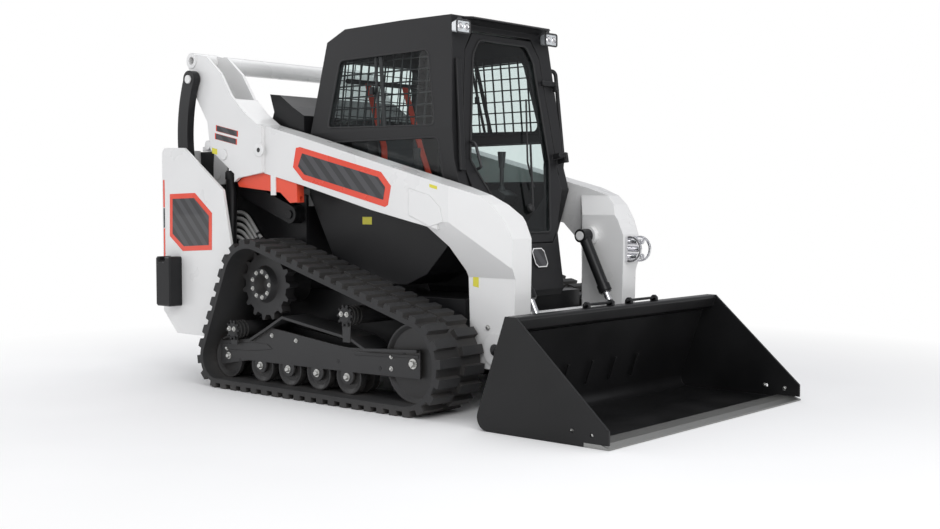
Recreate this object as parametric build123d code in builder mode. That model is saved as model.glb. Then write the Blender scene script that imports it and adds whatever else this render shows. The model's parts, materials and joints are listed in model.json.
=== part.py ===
from build123d import *
from math import atan2, degrees, hypot
import os

# Compact track loader with a vertical lift arm, an enclosed cab and a low profile bucket.
# Millimetres. X points forward, Y to the machine's left, Z up, and the ground is Z = 0.

os.makedirs("parts", exist_ok=True)

# Clearances
pin_gap = 0.05
seat_gap = 0.3

# Cab, whose width sets the places of everything beside it
cab_half_width = 450
cab_roof_half_width = cab_half_width - 65
cab_rear_x = -600
cab_wall = 40
cab_top_z = 1968
cab_deck_z = 545
door_thickness = 36
door_gap = 5
glass_thickness = 6
glass_inset = 8
door_hinge_y = cab_half_width - 32
door_hinge_low, door_hinge_high = (510, 1265), (441, cab_top_z - 314)
door_hinge_radius, door_pin_radius, door_knuckle = 12, 6, 26

# Mainframe and the two towers
frame_side_y = cab_half_width + 28
frame_side_wall = 18
frame_inner_y = frame_side_y - frame_side_wall
frame_rear_x, frame_front_x = -1560, 560
frame_bottom_z, frame_floor = 235, 15
tower_outer_y, tower_wall = frame_side_y + 266, 16
base_pin_radius = 22
link_side_gap = 6
weight_width, weight_height, weight_depth = 137, 286, 85
weight_x, weight_z = -1450, 565
rear_door_half_width = frame_side_y - 16
rear_hinge_x, rear_hinge_y = -1600, frame_side_y + 4
rear_hinge_heights = [560, 1160]
rear_hinge_radius, rear_hinge_pin, rear_knuckle = 14, 7, 50
hood_half_width = frame_inner_y - 5
hood_hinge_x, hood_hinge_z = -945, 1455
hood_hinge_radius, hood_pin_radius = 14, 8

# Undercarriage, one track each side
track_inner_y = frame_side_y + 47
track_width = 320
belt_thickness = 24
lug_height = 26
lug_count = 50
lug_length = 46
lug_gap = 24
sprocket_x, sprocket_z, sprocket_belt_radius = -672, 578, 221
front_idler_x, front_idler_z, front_idler_belt_radius = 478, 247, 221
rear_idler_x, rear_idler_z, rear_idler_belt_radius = -945, 165, 139
sprocket_teeth = 15
sprocket_disc_radius = 168
sprocket_width = 60
drive_hub_radius = 85
roller_count = 4
roller_front_x, roller_pitch = 16, 225
roller_z = 140
track_frame_wall = 12
wheel_half = 68
drive_hub_y = track_inner_y + 225
axle_outer_y = track_inner_y + 265

# Lift arm pins in side view: rear link top, control link rear, control link front and rear link foot
pin_b_x, pin_b_z = -1341, 1724
pin_c_x, pin_c_z = -1258, 1176
pin_d_x, pin_d_z = -663, 955
pin_a_x, pin_a_z = -1350, 1100
pin_e_x, pin_e_z = 786, 316
pin_p_x, pin_p_z = -1090, 1290
lift_base_x, lift_base_z = -1110, 430
tilt_top_x, tilt_top_z = 700, 845
tilt_eye_x, tilt_eye_z = 905, 430
linkage_pin_radius = 24
arm_inner_y = cab_half_width + 40
arm_outer_y = arm_inner_y + 150
arm_inner_wall = 18
belly_outer_y = arm_outer_y + 21
belly_wall = 16
control_lug_outer_y, control_lug_wall = arm_inner_y + 82, 16
leg_inner_y, leg_outer_y = arm_inner_y - 100, arm_inner_y + 22
coupler_pin_radius, tilt_eye_bore = 29, 22
coupler_ear_outer_y, coupler_ear_inner_y = leg_inner_y - 5, leg_inner_y - 22
coupler_half_width = 560
link_inner_y, link_wall = arm_inner_y + 25, 35
lift_cylinder_y = arm_inner_y + 116
lift_base_eye_half, lift_eye_half = 35, 23
lift_barrel_radius, lift_rod_radius = 31, 20
lift_barrel_length = 770
tilt_cylinder_y = leg_inner_y - 70
tilt_top_eye_half, tilt_top_eye_radius = 34, 36
tilt_barrel_radius, tilt_rod_radius = 30, 17
tilt_barrel_length = 330
tilt_rod_start = 145
rear_link_inner_y, rear_link_wall = arm_inner_y + 178, 45
arm_bore_x, arm_bore_z, arm_bore_radius = -1376, 1836, 22.5
cross_tube_x, cross_tube_z, cross_tube_radius = -1295, 1815, 50
torque_tube_x, torque_tube_z, torque_tube_radius = 735, 420, 55

# Bucket and coupler
bucket_width = 1736
bucket_side_wall = 12
bucket_sheet = 10
bucket_edge_x = 1690
bucket_heel_x, bucket_heel_z = 958, 40
bucket_heel_radius = 60
bucket_top_x, bucket_top_z = 1131, 523
bucket_lip_x = 1189
edge_rear_x, edge_wall = 1560, 18
face_foot, face_height, face_wall = 30, 400, 24


def side_plane(y):
    """A plane in side view at that Y: sketch X forward, sketch Y up, extruding towards -Y."""
    return Plane.XZ.offset(-y)


def angle_of(x1, z1, x2, z2):
    """The direction from one point to another in side view, in degrees."""
    return degrees(atan2(z2 - z1, x2 - x1))


def side_face(outline, y, corner=0):
    """A face in side view at y, with all its corners rounded by that radius."""
    with BuildSketch(side_plane(y)) as profile:
        with BuildLine():
            Polyline(*outline, close=True)
        make_face()
        if corner:
            fillet(profile.vertices(), corner)
    return profile.sketch.face()


def side_plates(outline, y, wall, corner=0):
    """A plate of that outline in side view, its outer face at y, with its mirror image."""
    with BuildPart() as plates:
        extrude(side_face(outline, y, corner), amount=wall, dir=(0, -1, 0))
        mirror(about=Plane.XZ)
    return plates.part


def side_rods(x, z, radius, outer_y, inner_y, bore=0):
    """A rod or boss across the machine from inner_y to outer_y, with its mirror image."""
    with BuildPart() as rods:
        with BuildSketch(side_plane(outer_y)):
            with Locations((x, z)):
                Circle(radius)
                if bore:
                    Circle(bore, mode=Mode.SUBTRACT)
        extrude(amount=outer_y - inner_y)
        mirror(about=Plane.XZ)
    return rods.part


# Track: one closed belt on each side, with two rows of tread lugs half a pitch apart
def belt_face(y, inset):
    """The area inside the belt's outer face, less the inset: the tight loop round its wheels."""
    with BuildSketch(side_plane(y)) as outline:
        with Locations((sprocket_x, sprocket_z)):
            Circle(sprocket_belt_radius - inset)
        with Locations((front_idler_x, front_idler_z)):
            Circle(front_idler_belt_radius - inset)
        with Locations((rear_idler_x, rear_idler_z)):
            Circle(rear_idler_belt_radius - inset)
        make_hull()
    return outline.sketch.face()


def make_track(y):
    """A rubber track whose side towards +Y is at y."""
    loop = belt_face(y, 0).outer_wire()
    row_width = (track_width - lug_gap) / 2
    with BuildPart() as track:
        extrude(belt_face(y, 0), amount=track_width, dir=(0, -1, 0))
        for row, phase in enumerate((0, 0.5)):
            drop = Vector(0, -row * (row_width + lug_gap), 0)
            fractions = [(i + phase) / lug_count for i in range(lug_count)]
            lug_planes = [Plane(origin=loop.position_at(f) + drop, x_dir=loop.tangent_at(f),
                                z_dir=(0, -1, 0)) for f in fractions]
            with BuildSketch(*lug_planes):
                Rectangle(lug_length, 2 * lug_height)
            extrude(amount=row_width)
        extrude(belt_face(y, belt_thickness), amount=track_width, dir=(0, -1, 0), mode=Mode.SUBTRACT)
    return track.part


for side, outer_y in (("left", track_inner_y + track_width), ("right", -track_inner_y)):
    track = make_track(outer_y)
    track.label = "track_" + side
    export_step(track, "parts/track_" + side + ".step")

# Sprockets: a toothed disc on a dished hub, driven by the final drive behind it
tooth_radius = sprocket_belt_radius - belt_thickness - seat_gap
track_mid_y = track_inner_y + track_width / 2
with BuildPart() as sprockets:
    with BuildSketch(side_plane(track_mid_y + sprocket_width / 2)):
        with Locations((sprocket_x, sprocket_z)):
            Circle(sprocket_disc_radius)
        with Locations((sprocket_x, sprocket_z)):
            with PolarLocations(sprocket_disc_radius - 6, sprocket_teeth):
                with Locations(((tooth_radius - sprocket_disc_radius + 6) / 2, 0)):
                    Trapezoid(40, tooth_radius - sprocket_disc_radius + 6, 72, rotation=-90)
    extrude(amount=sprocket_width)
    with Locations(Plane(origin=(sprocket_x, drive_hub_y, sprocket_z), z_dir=(0, -1, 0))):
        with Locations((0, 0, (drive_hub_y - track_mid_y) / 2)):
            Cone(drive_hub_radius, drive_hub_radius + 30, drive_hub_y - track_mid_y)
        with Locations((0, 0, 25)):
            Cone(56, 34, 50, mode=Mode.SUBTRACT)
    mirror(about=Plane.XZ)
sprockets.part.label = "sprockets"
export_step(sprockets.part, "parts/sprockets.step")

with BuildPart() as final_drives:
    with BuildSketch(side_plane(track_mid_y - sprocket_width / 2)):
        with Locations((sprocket_x, sprocket_z)):
            Circle(drive_hub_radius + 20)
    extrude(amount=track_mid_y - sprocket_width / 2 - frame_side_y)
    mirror(about=Plane.XZ)
final_drives.part.label = "final_drives"
export_step(final_drives.part, "parts/final_drives.step")


# Idlers and bottom rollers
def wheel(x, z, radius, rim, hub_radius, dish):
    """A turned wheel and its mirror image: two rims beside the guide path, on a dished hub."""
    profile = [(0, dish - wheel_half), (radius - 26, dish - wheel_half), (radius - 8, -wheel_half),
               (radius, -wheel_half), (radius, rim - wheel_half), (hub_radius, rim - wheel_half),
               (hub_radius, 0), (0, 0)]
    across = Plane(origin=(x, track_mid_y, z), x_dir=(1, 0, 0), z_dir=(0, 0, 1))
    with BuildPart() as turned:
        with BuildSketch(across):
            with BuildLine():
                Polyline(*profile, close=True)
            make_face()
            mirror(about=Plane.XZ)
        revolve(axis=Axis(across.origin, (0, 1, 0)))
        mirror(about=Plane.XZ)
    return turned.part


roller_radius = roller_z - (rear_idler_z - rear_idler_belt_radius + belt_thickness) - seat_gap
roller_solids = [wheel(roller_front_x - i * roller_pitch, roller_z, roller_radius, 40, 50, 12)
                 for i in range(roller_count)]
with BuildPart() as rollers:
    add(roller_solids)
rollers.part.label = "rollers"
export_step(rollers.part, "parts/rollers.step")

front_idlers = wheel(front_idler_x, front_idler_z,
                     front_idler_belt_radius - belt_thickness - seat_gap, 24, 100, 16)
front_idlers.label = "front_idlers"
export_step(front_idlers, "parts/front_idlers.step")

rear_idlers = wheel(rear_idler_x, rear_idler_z,
                    rear_idler_belt_radius - belt_thickness - seat_gap, 24, 60, 16)
rear_idlers.label = "rear_idlers"
export_step(rear_idlers, "parts/rear_idlers.step")

# Track frames: a plate each side of the wheels, with a lobe at each roller, and a bent cover above
track_frame_outer_y = track_mid_y + wheel_half + seat_gap + track_frame_wall
track_frame_inner_y = track_mid_y - wheel_half - seat_gap - track_frame_wall
frame_outline = [(-999, 251), (-724, 282), (-587, 353), (-76, 298), (29, 291), (523, 319),
                 (523, 175), (72, 168), (-760, 160), (-1001, 119)]
with BuildPart() as track_frames:
    for y in (track_frame_outer_y, track_frame_inner_y + track_frame_wall):
        extrude(side_face(frame_outline, y, 8), amount=track_frame_wall, dir=(0, -1, 0))
        with BuildSketch(side_plane(y)):
            for i in range(roller_count):
                with Locations((roller_front_x - i * roller_pitch, roller_z + 6)):
                    Circle(46)
        extrude(amount=track_frame_wall)
    with BuildSketch(side_plane(track_frame_outer_y + 22)):
        with BuildLine() as cover:
            Polyline((-724, 276), (-587, 345), (-457, 414), (60, 339), (170, 290))
        trace(cover.line, 14)
    extrude(amount=track_frame_outer_y + 22 - track_frame_inner_y)
    with BuildSketch(side_plane(track_frame_outer_y + 22)):
        with BuildLine() as flange:
            Polyline((165, 292), (520, 312))
        trace(flange.line, 14)
    extrude(amount=22 + track_frame_wall)
    mirror(about=Plane.XZ)
track_frames.part.label = "track_frames"
export_step(track_frames.part, "parts/track_frames.step")

# Torsion axles that hang each track frame from the mainframe, with ribbed rubber housings
axle_places = [(-853, 322), (39, 455)]
axle_seats = [(-853, 240), (39, 320)]
with BuildPart() as torsion_axles:
    for x, z in axle_places:
        add(side_rods(x, z, 46, axle_outer_y, frame_side_y))
        for rib in range(3):
            rib_y = axle_outer_y - 12 - rib * 24
            add(side_rods(x, z, 52, rib_y, rib_y - 10))
    for (x, z), (seat_x, seat_z) in zip(axle_places, axle_seats):
        lever = [(x - 34, z), (x + 34, z), (seat_x + 26, seat_z), (seat_x - 26, seat_z)]
        add(side_plates(lever, axle_outer_y, axle_outer_y - track_frame_outer_y - 22 - seat_gap))
torsion_axles.part.label = "torsion_axles"
export_step(torsion_axles.part, "parts/torsion_axles.step")

# Mainframe: two side walls on a floor, a firewall behind the cab and a deck under it
wall_outline = [(frame_rear_x, 300), (frame_rear_x, 1320), (-1200, 1320), (-800, 1100), (-605, 1060),
                (-605, cab_deck_z), (frame_front_x, cab_deck_z), (frame_front_x, frame_bottom_z),
                (-1480, frame_bottom_z)]
with BuildPart() as mainframe:
    add(side_plates(wall_outline, frame_side_y, frame_side_wall))
    for x0, z0, x1, z1 in ((-1480, frame_bottom_z, frame_front_x, frame_bottom_z + frame_floor),
                           (-640, frame_bottom_z, -628, 1000),
                           (-640, cab_deck_z - frame_floor, frame_front_x, cab_deck_z),
                           (frame_front_x - 15, frame_bottom_z, frame_front_x, cab_deck_z)):
        with BuildSketch(side_plane(frame_inner_y)):
            with Locations(((x0 + x1) / 2, (z0 + z1) / 2)):
                Rectangle(x1 - x0, z1 - z0)
        extrude(amount=2 * frame_inner_y)
    add(side_rods(pin_d_x, pin_d_z, 50, link_inner_y - seat_gap, frame_side_y))
    add(side_rods(pin_d_x, pin_d_z, linkage_pin_radius, link_inner_y + link_wall + 8, frame_side_y))
mainframe.part.label = "mainframe"
export_step(mainframe.part, "parts/mainframe.step")

# Towers: an outer plate each side, closed at the rear and below, open to the front and the top
tower_outline = [(frame_rear_x, 388), (frame_rear_x, 1310), (-1535, 1336), (-1349, 1332),
                 (-997, 1089), (-923, 758), (-965, 605), (-1150, 290), (-1195, 262), (-1430, 262)]
tower_room = [(frame_rear_x + tower_wall, 396), (frame_rear_x + tower_wall, 1400), (-800, 1400),
              (-800, 262 + tower_wall), (-1423, 262 + tower_wall)]
with BuildPart() as towers:
    add(side_plates(tower_outline, tower_outer_y, tower_outer_y - frame_side_y - seat_gap, 12))
    for y in (tower_outer_y - tower_wall, -frame_side_y):
        extrude(side_face(tower_room, y), amount=tower_outer_y - tower_wall - frame_side_y,
                dir=(0, -1, 0), mode=Mode.SUBTRACT)
    add(side_rods(lift_base_x, lift_base_z, base_pin_radius, tower_outer_y - tower_wall,
                  frame_side_y + seat_gap))
    add(side_rods(pin_a_x, pin_a_z, 45, tower_outer_y - tower_wall,
                  rear_link_inner_y + rear_link_wall + link_side_gap))
towers.part.label = "towers"
export_step(towers.part, "parts/towers.step")

# Counterweights: castings bolted on the towers, with a lifting notch and chamfered outer edges
with BuildPart() as counterweights:
    with BuildSketch(Plane.XZ.offset(tower_outer_y + seat_gap)):
        with Locations((weight_x, weight_z)):
            RectangleRounded(weight_width, weight_height, 14)
        with Locations((weight_x - 10, weight_z + weight_height / 2)):
            RectangleRounded(52, 56, 10, mode=Mode.SUBTRACT)
    extrude(amount=weight_depth)
    chamfer(counterweights.faces().sort_by(Axis.Y)[0].edges(), 8)
    mirror(about=Plane.XZ)
counterweights.part.label = "counterweights"
export_step(counterweights.part, "parts/counterweights.step")

with BuildPart() as engine:
    with BuildSketch(Plane.XY.offset(frame_bottom_z + frame_floor)):
        with Locations((-1100, 0)):
            Rectangle(660, 480)
    extrude(amount=720)
    chamfer(engine.edges().group_by(Axis.Z)[-1], 60)
engine.part.label = "engine"
export_step(engine.part, "parts/engine.step")

# Rear door, a hollow panel with cooling slots, hinged at the left tower on two pins
rear_door_outline = [(-1566, 420), (-1640, 430), (-1690, 540), (-1690, 1180), (-1655, 1290),
                     (-1566, 1300)]
rear_door_room = [(-1500, 445), (-1632, 455), (-1668, 545), (-1668, 1172), (-1640, 1268), (-1500, 1270)]
with BuildPart() as rear_door:
    extrude(side_face(rear_door_outline, rear_door_half_width), amount=2 * rear_door_half_width,
            dir=(0, -1, 0))
    extrude(side_face(rear_door_room, rear_door_half_width - 22),
            amount=2 * rear_door_half_width - 44, dir=(0, -1, 0), mode=Mode.SUBTRACT)
    with BuildSketch(Plane.YZ.offset(-1750)):
        with Locations((0, 960)):
            with GridLocations(390, 50, 2, 7):
                Rectangle(320, 20)
    extrude(amount=120, mode=Mode.SUBTRACT)
    for z in rear_hinge_heights:
        with BuildSketch(Plane.XY.offset(z + seat_gap)):
            with Locations((rear_hinge_x, rear_hinge_y)):
                Circle(rear_hinge_radius)
            with Locations((rear_hinge_x, (rear_hinge_y + rear_door_half_width) / 2 - 4)):
                Rectangle(14, rear_hinge_y - rear_door_half_width)
        extrude(amount=rear_knuckle)
        with BuildSketch(Plane.XY.offset(z)):
            with Locations((rear_hinge_x, rear_hinge_y)):
                Circle(rear_hinge_pin + pin_gap)
        extrude(amount=rear_knuckle + 1, mode=Mode.SUBTRACT)
rear_door.part.label = "rear_door"
export_step(rear_door.part, "parts/rear_door.step")

with BuildPart() as rear_hinges:
    for z in rear_hinge_heights:
        with BuildSketch(Plane.XY.offset(z - rear_knuckle)):
            with Locations((rear_hinge_x, rear_hinge_y)):
                Circle(rear_hinge_radius)
            with Locations(((rear_hinge_x + frame_rear_x - seat_gap) / 2, rear_hinge_y + 6)):
                Rectangle(frame_rear_x - seat_gap - rear_hinge_x, 12)
        extrude(amount=rear_knuckle)
        with BuildSketch(Plane.XY.offset(z - 1)):
            with Locations((rear_hinge_x, rear_hinge_y)):
                Circle(rear_hinge_pin)
        extrude(amount=rear_knuckle + 6)
rear_hinges.part.label = "rear_hinges"
export_step(rear_hinges.part, "parts/rear_hinges.step")

# Engine hood: a thin lid with a grille of slots, on a pair of hinge rods at its front edge
hood_outline = [(-1555, 1324), (-1555, 1350), (-980, 1460), (-972, 1450), (-972, 1430), (-1000, 1426),
                (-1520, 1328)]
hood_ear = [(-1010, 1440), (-985, 1462), (hood_hinge_x, hood_hinge_z + 12),
            (hood_hinge_x, hood_hinge_z - 12), (-1000, 1426)]
hood_rod_y = hood_half_width - 75
with BuildPart() as engine_hood:
    extrude(side_face(hood_outline, hood_half_width), amount=2 * hood_half_width, dir=(0, -1, 0))
    with BuildSketch(Plane.XY.offset(1200)):
        with Locations((-1270, 0)):
            with GridLocations(56, 380, 8, 2):
                Rectangle(22, 330)
    extrude(amount=400, mode=Mode.SUBTRACT)
    for ear_y in (hood_rod_y + 30, hood_rod_y - 12):
        add(side_plates(hood_ear, ear_y, 18))
        add(side_rods(hood_hinge_x, hood_hinge_z, hood_hinge_radius, ear_y, ear_y - 18))
    add(side_rods(hood_hinge_x, hood_hinge_z, hood_pin_radius, hood_rod_y + 20, hood_rod_y - 20))
engine_hood.part.label = "engine_hood"
export_step(engine_hood.part, "parts/engine_hood.step")

# Air cowl between the hood and the cab's back, with the lugs of the hood's hinge
cowl_outline = [(-928, 1100), (-928, 1440), (-890, 1531), (-925, 1632), (-840, 1622), (-735, 1552),
                (-640, 1500), (-640, 1100)]
hinge_lug = [(-900, 1400), (-900, 1480), (hood_hinge_x, hood_hinge_z + 14),
             (hood_hinge_x, hood_hinge_z - 14)]
with BuildPart() as air_cowl:
    extrude(side_face(cowl_outline, frame_inner_y - seat_gap),
            amount=2 * (frame_inner_y - seat_gap), dir=(0, -1, 0))
    add(side_plates(hinge_lug, hood_rod_y + 9, 18))
    add(side_rods(hood_hinge_x, hood_hinge_z, hood_hinge_radius, hood_rod_y + 9, hood_rod_y - 9))
    with BuildSketch(side_plane(frame_inner_y)):
        with Locations((hood_hinge_x, hood_hinge_z)):
            Circle(hood_pin_radius + pin_gap)
    extrude(amount=2 * frame_inner_y, mode=Mode.SUBTRACT)
air_cowl.part.label = "air_cowl"
export_step(air_cowl.part, "parts/air_cowl.step")

with BuildPart() as tail_lights:
    with BuildSketch(Plane.YZ.offset(frame_rear_x - seat_gap)):
        for side in (-1, 1):
            with Locations((side * (tower_outer_y - 44), 1050)):
                RectangleRounded(60, 250, 12)
    extrude(amount=-22)
    chamfer(tail_lights.faces().sort_by(Axis.X)[0:2].edges(), 5)
tail_lights.part.label = "tail_lights"
export_step(tail_lights.part, "parts/tail_lights.step")


# Cab: a hollow shell from its side outline, its roof taper and the narrow nose at the foot
cab_outline = [(-606, 1061), (cab_rear_x, 1375), (-520, cab_top_z - 73), (-386, cab_top_z - 10),
               (42, cab_top_z), (386, cab_top_z), (398, cab_top_z - 73), (461, 1237), (505, 1089),
               (412, 796), (275, 656), (134, 597), (-11, 597), (-423, 736)]
nose_outline = [(0, 1237), (461, 1237), (610, 852), (702, 576), (690, cab_deck_z + seat_gap),
                (0, cab_deck_z + seat_gap)]
roof_outline = [(-cab_half_width, 400), (cab_half_width, 400), (cab_half_width, 1400),
                (cab_roof_half_width, cab_top_z), (-cab_roof_half_width, cab_top_z),
                (-cab_half_width, 1400)]
nose_front = [(cab_half_width - 50, 1260), (368, 1089), (217, 871), (144, 576), (128, cab_deck_z)]
door_top_z, door_rise = cab_top_z - 81, 6
door_front = [(240, door_top_z), (302, cab_top_z - 168), (388, 1250), (368, 1089), (224, 882),
              (150, 815)]
door_hole = [(240, door_top_z + door_rise)] + door_front[1:]
visor_outline = [(360, cab_top_z - 12), (360, cab_top_z), (470, cab_top_z - 12), (478, cab_top_z - 22),
                 (440, cab_top_z - 24), (394, cab_top_z - 40)]


def mirrored(half):
    """A closed front view outline from its +Y half."""
    return half + [(-y, z) for y, z in reversed(half)]


def cab_volume(inset):
    """The cab's outer form with every face moved inwards by the inset."""
    with BuildPart() as volume:
        with BuildSketch(side_plane(cab_half_width - inset)):
            with BuildLine():
                Polyline(*cab_outline, close=True)
            make_face()
            if inset:
                offset(amount=-inset, kind=Kind.INTERSECTION)
        extrude(amount=2 * (cab_half_width - inset))
        with BuildSketch(Plane.YZ.offset(-700)):
            with BuildLine():
                Polyline(*roof_outline, close=True)
            make_face()
            if inset:
                offset(amount=-inset, kind=Kind.INTERSECTION)
        extrude(amount=1500, mode=Mode.INTERSECT)
    with BuildPart() as nose:
        with BuildSketch(side_plane(cab_half_width - inset)):
            with BuildLine():
                Polyline(*nose_outline, close=True)
            make_face()
            if inset:
                offset(amount=-inset, kind=Kind.INTERSECTION)
        extrude(amount=2 * (cab_half_width - inset))
        with BuildSketch(Plane.YZ.offset(-10)):
            with BuildLine():
                Polyline(*mirrored(nose_front), close=True)
            make_face()
            if inset:
                offset(amount=-inset, kind=Kind.INTERSECTION)
        extrude(amount=800, mode=Mode.INTERSECT)
    with BuildPart() as whole:
        add(volume.part)
        add(nose.part)
    return whole.part


def front_prism(half, grow, start_x=300):
    """A prism along X through the cab's front, from a front view outline grown by that much."""
    with BuildPart() as prism:
        with BuildSketch(Plane.YZ.offset(start_x)):
            with BuildLine():
                Polyline(*mirrored(half), close=True)
            make_face()
            if grow:
                offset(amount=grow, kind=Kind.INTERSECTION)
        extrude(amount=500)
    return prism.part


def side_prism(outline, corner, grow=0):
    """A prism through both of the cab's sides, from a side view outline with rounded corners."""
    with BuildPart() as prism:
        with BuildSketch(side_plane(600)) as profile:
            with BuildLine():
                Polyline(*outline, close=True)
            make_face()
            fillet(profile.vertices(), corner)
            if grow:
                offset(amount=grow)
        extrude(amount=1200)
    return prism.part


def back_prism(outline, corner, grow=0):
    """A prism through the cab's back, from a front view outline with rounded corners."""
    with BuildPart() as prism:
        with BuildSketch(Plane.YZ.offset(-700)) as profile:
            with BuildLine():
                Polyline(*mirrored(outline), close=True)
            make_face()
            fillet(profile.vertices(), corner)
            if grow:
                offset(amount=grow)
        extrude(amount=300)
    return prism.part


hinge_rise = Vector(door_hinge_high[0] - door_hinge_low[0], 0,
                    door_hinge_high[1] - door_hinge_low[1]).normalized()
hinge_forward = Vector(hinge_rise.Z, 0, -hinge_rise.X)


def hinge_solid(hinge, up_from, up_to, radius, arm=()):
    """A knuckle on the door's hinge line, and its arm as (back, y0, y1) from the axis."""
    with BuildPart() as knuckle:
        with BuildSketch(Plane(origin=Vector(hinge[0], door_hinge_y, hinge[1]) + hinge_rise * up_from,
                               x_dir=hinge_forward, z_dir=hinge_rise)):
            Circle(radius)
            if arm:
                back, y0, y1 = arm
                with Locations((-back / 2, (y0 + y1) / 2)):
                    Rectangle(back, y1 - y0)
        extrude(amount=up_to - up_from)
    return knuckle.part


upper_window = [(-410, cab_top_z - 178), (243, cab_top_z - 165), (329, 1412), (-465, 1425)]
lower_window = [(-440, 1345), (349, 1352), (395, 1130), (-420, 1130)]
rear_window = [(300, cab_top_z - 168), (340, 1440)]
door_glass_front = [(192, cab_top_z - 112), (248, cab_top_z - 190), (328, 1237), (150, 865)]

# Grab rail beside the left pillar: one bent round bar with both ends in the cab's side
rail_y, rail_radius, rail_bend = cab_half_width + 22, 11, 28
with BuildPart() as grab_rail:
    with BuildLine() as rail_path:
        FilletPolyline((372, cab_half_width - 55, 1745), (392, rail_y, 1745), (446, rail_y, 1283),
                       (436, rail_y, 1180), (430, cab_half_width - 20, 1180), radius=rail_bend)
    with BuildSketch(Plane(origin=rail_path.line @ 0, z_dir=rail_path.line % 0)):
        Circle(rail_radius)
    sweep()

outer_form = cab_volume(0)
inner_form = cab_volume(cab_wall)
door_slot = front_prism(door_hole, door_gap)
side_windows = [side_prism(upper_window, 40), side_prism(lower_window, 30)]
back_window = back_prism(rear_window, 30)
with BuildPart() as cab_frame:
    add(outer_form)
    add(inner_form, mode=Mode.SUBTRACT)
    add(door_slot, mode=Mode.SUBTRACT)
    add(side_windows, mode=Mode.SUBTRACT)
    add(back_window, mode=Mode.SUBTRACT)
    add(grab_rail.part)
    extrude(side_face(visor_outline, cab_roof_half_width - 70),
            amount=2 * (cab_roof_half_width - 70), dir=(0, -1, 0))
    for hinge, back in ((door_hinge_low, 80), (door_hinge_high, 48)):
        add(hinge_solid(hinge, -door_knuckle, 0, door_hinge_radius, (back, -14, 0)))
        add(hinge_solid(hinge, -1, door_knuckle + 4, door_pin_radius))
cab_frame.part.label = "cab_frame"
export_step(cab_frame.part, "parts/cab_frame.step")

with BuildPart() as cab_door:
    add(outer_form)
    add(cab_volume(door_thickness), mode=Mode.SUBTRACT)
    add(front_prism(door_front, 0, 320), mode=Mode.INTERSECT)
    add(front_prism(door_glass_front, 0), mode=Mode.SUBTRACT)
    for hinge, back, reach in ((door_hinge_low, 76, 56), (door_hinge_high, 44, 118)):
        add(hinge_solid(hinge, seat_gap, door_knuckle, door_hinge_radius, (12, -reach, 0)))
        add(hinge_solid(hinge, seat_gap, door_knuckle, 5, (back, -reach, 16 - reach)))
        add(hinge_solid(hinge, 0, door_knuckle + 1, door_pin_radius + pin_gap), mode=Mode.SUBTRACT)
cab_door.part.label = "cab_door"
export_step(cab_door.part, "parts/cab_door.step")

glass_outer = cab_volume(glass_inset)
glass_inner = cab_volume(glass_inset + glass_thickness)
with BuildPart() as door_glass:
    add(glass_outer)
    add(glass_inner, mode=Mode.SUBTRACT)
    add(front_prism(door_glass_front, -seat_gap), mode=Mode.INTERSECT)
door_glass.part.label = "door_glass"
export_step(door_glass.part, "parts/door_glass.step")

with BuildPart() as glass_openings:
    add([side_prism(upper_window, 40, -seat_gap), side_prism(lower_window, 30, -seat_gap),
         back_prism(rear_window, 30, -seat_gap)])
with BuildPart() as cab_glass:
    add(glass_outer)
    add(glass_inner, mode=Mode.SUBTRACT)
    add(glass_openings.part, mode=Mode.INTERSECT)
cab_glass.part.label = "cab_glass"
export_step(cab_glass.part, "parts/cab_glass.step")

# Wire guards against the inner face of the upper side walls
guard_pitch, guard_wire = 62, 7
guard_x, guard_z = -65, (1400 + cab_top_z) / 2 - 61
side_lean = Vector(0, cab_top_z - 1400, cab_half_width - cab_roof_half_width).normalized()
guard_y = cab_half_width - (guard_z - 1400) * side_lean.Z / side_lean.Y
guard_depth = cab_wall + seat_gap + guard_wire / 2
with BuildPart() as window_guards:
    for side in (1, -1):
        normal = Vector(0, side * side_lean.Y, side_lean.Z)
        middle = Vector(guard_x, side * guard_y, guard_z) - normal * guard_depth
        with BuildSketch(Plane(origin=middle, x_dir=(1, 0, 0), z_dir=normal)):
            Rectangle(13 * guard_pitch + guard_wire, 7 * guard_pitch + guard_wire)
            with GridLocations(guard_pitch, guard_pitch, 13, 7):
                Rectangle(guard_pitch - guard_wire, guard_pitch - guard_wire, mode=Mode.SUBTRACT)
        extrude(amount=guard_wire / 2, both=True)
window_guards.part.label = "window_guards"
export_step(window_guards.part, "parts/window_guards.step")

# Seat on its pedestal, and the control consoles against the cab's sides with their levers
seat_outline = [(-430, 900), (60, 930), (84, 960), (60, 1000), (-290, 980), (-392, 1400), (-420, 1430),
                (-470, 1430), (-500, 1380)]
seat_slope = 30 / 490
with BuildPart() as seat:
    extrude(side_face(seat_outline, 230, 16), amount=460, dir=(0, -1, 0))
    for side_y in (230, -170):
        extrude(side_face([(-395, 960), (40, 990), (50, 1020), (-390, 1010)], side_y, 12), amount=60,
                dir=(0, -1, 0))
seat.part.label = "seat"
export_step(seat.part, "parts/seat.step")

pedestal_top = 930 - 60 * seat_slope - seat_gap
with BuildPart() as seat_base:
    extrude(side_face([(-400, 600), (0, 600), (0, pedestal_top), (-400, pedestal_top - 400 * seat_slope)],
                      200), amount=400, dir=(0, -1, 0))
    add(cab_volume(cab_wall + seat_gap), mode=Mode.INTERSECT)
seat_base.part.label = "seat_base"
export_step(seat_base.part, "parts/seat_base.step")

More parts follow.
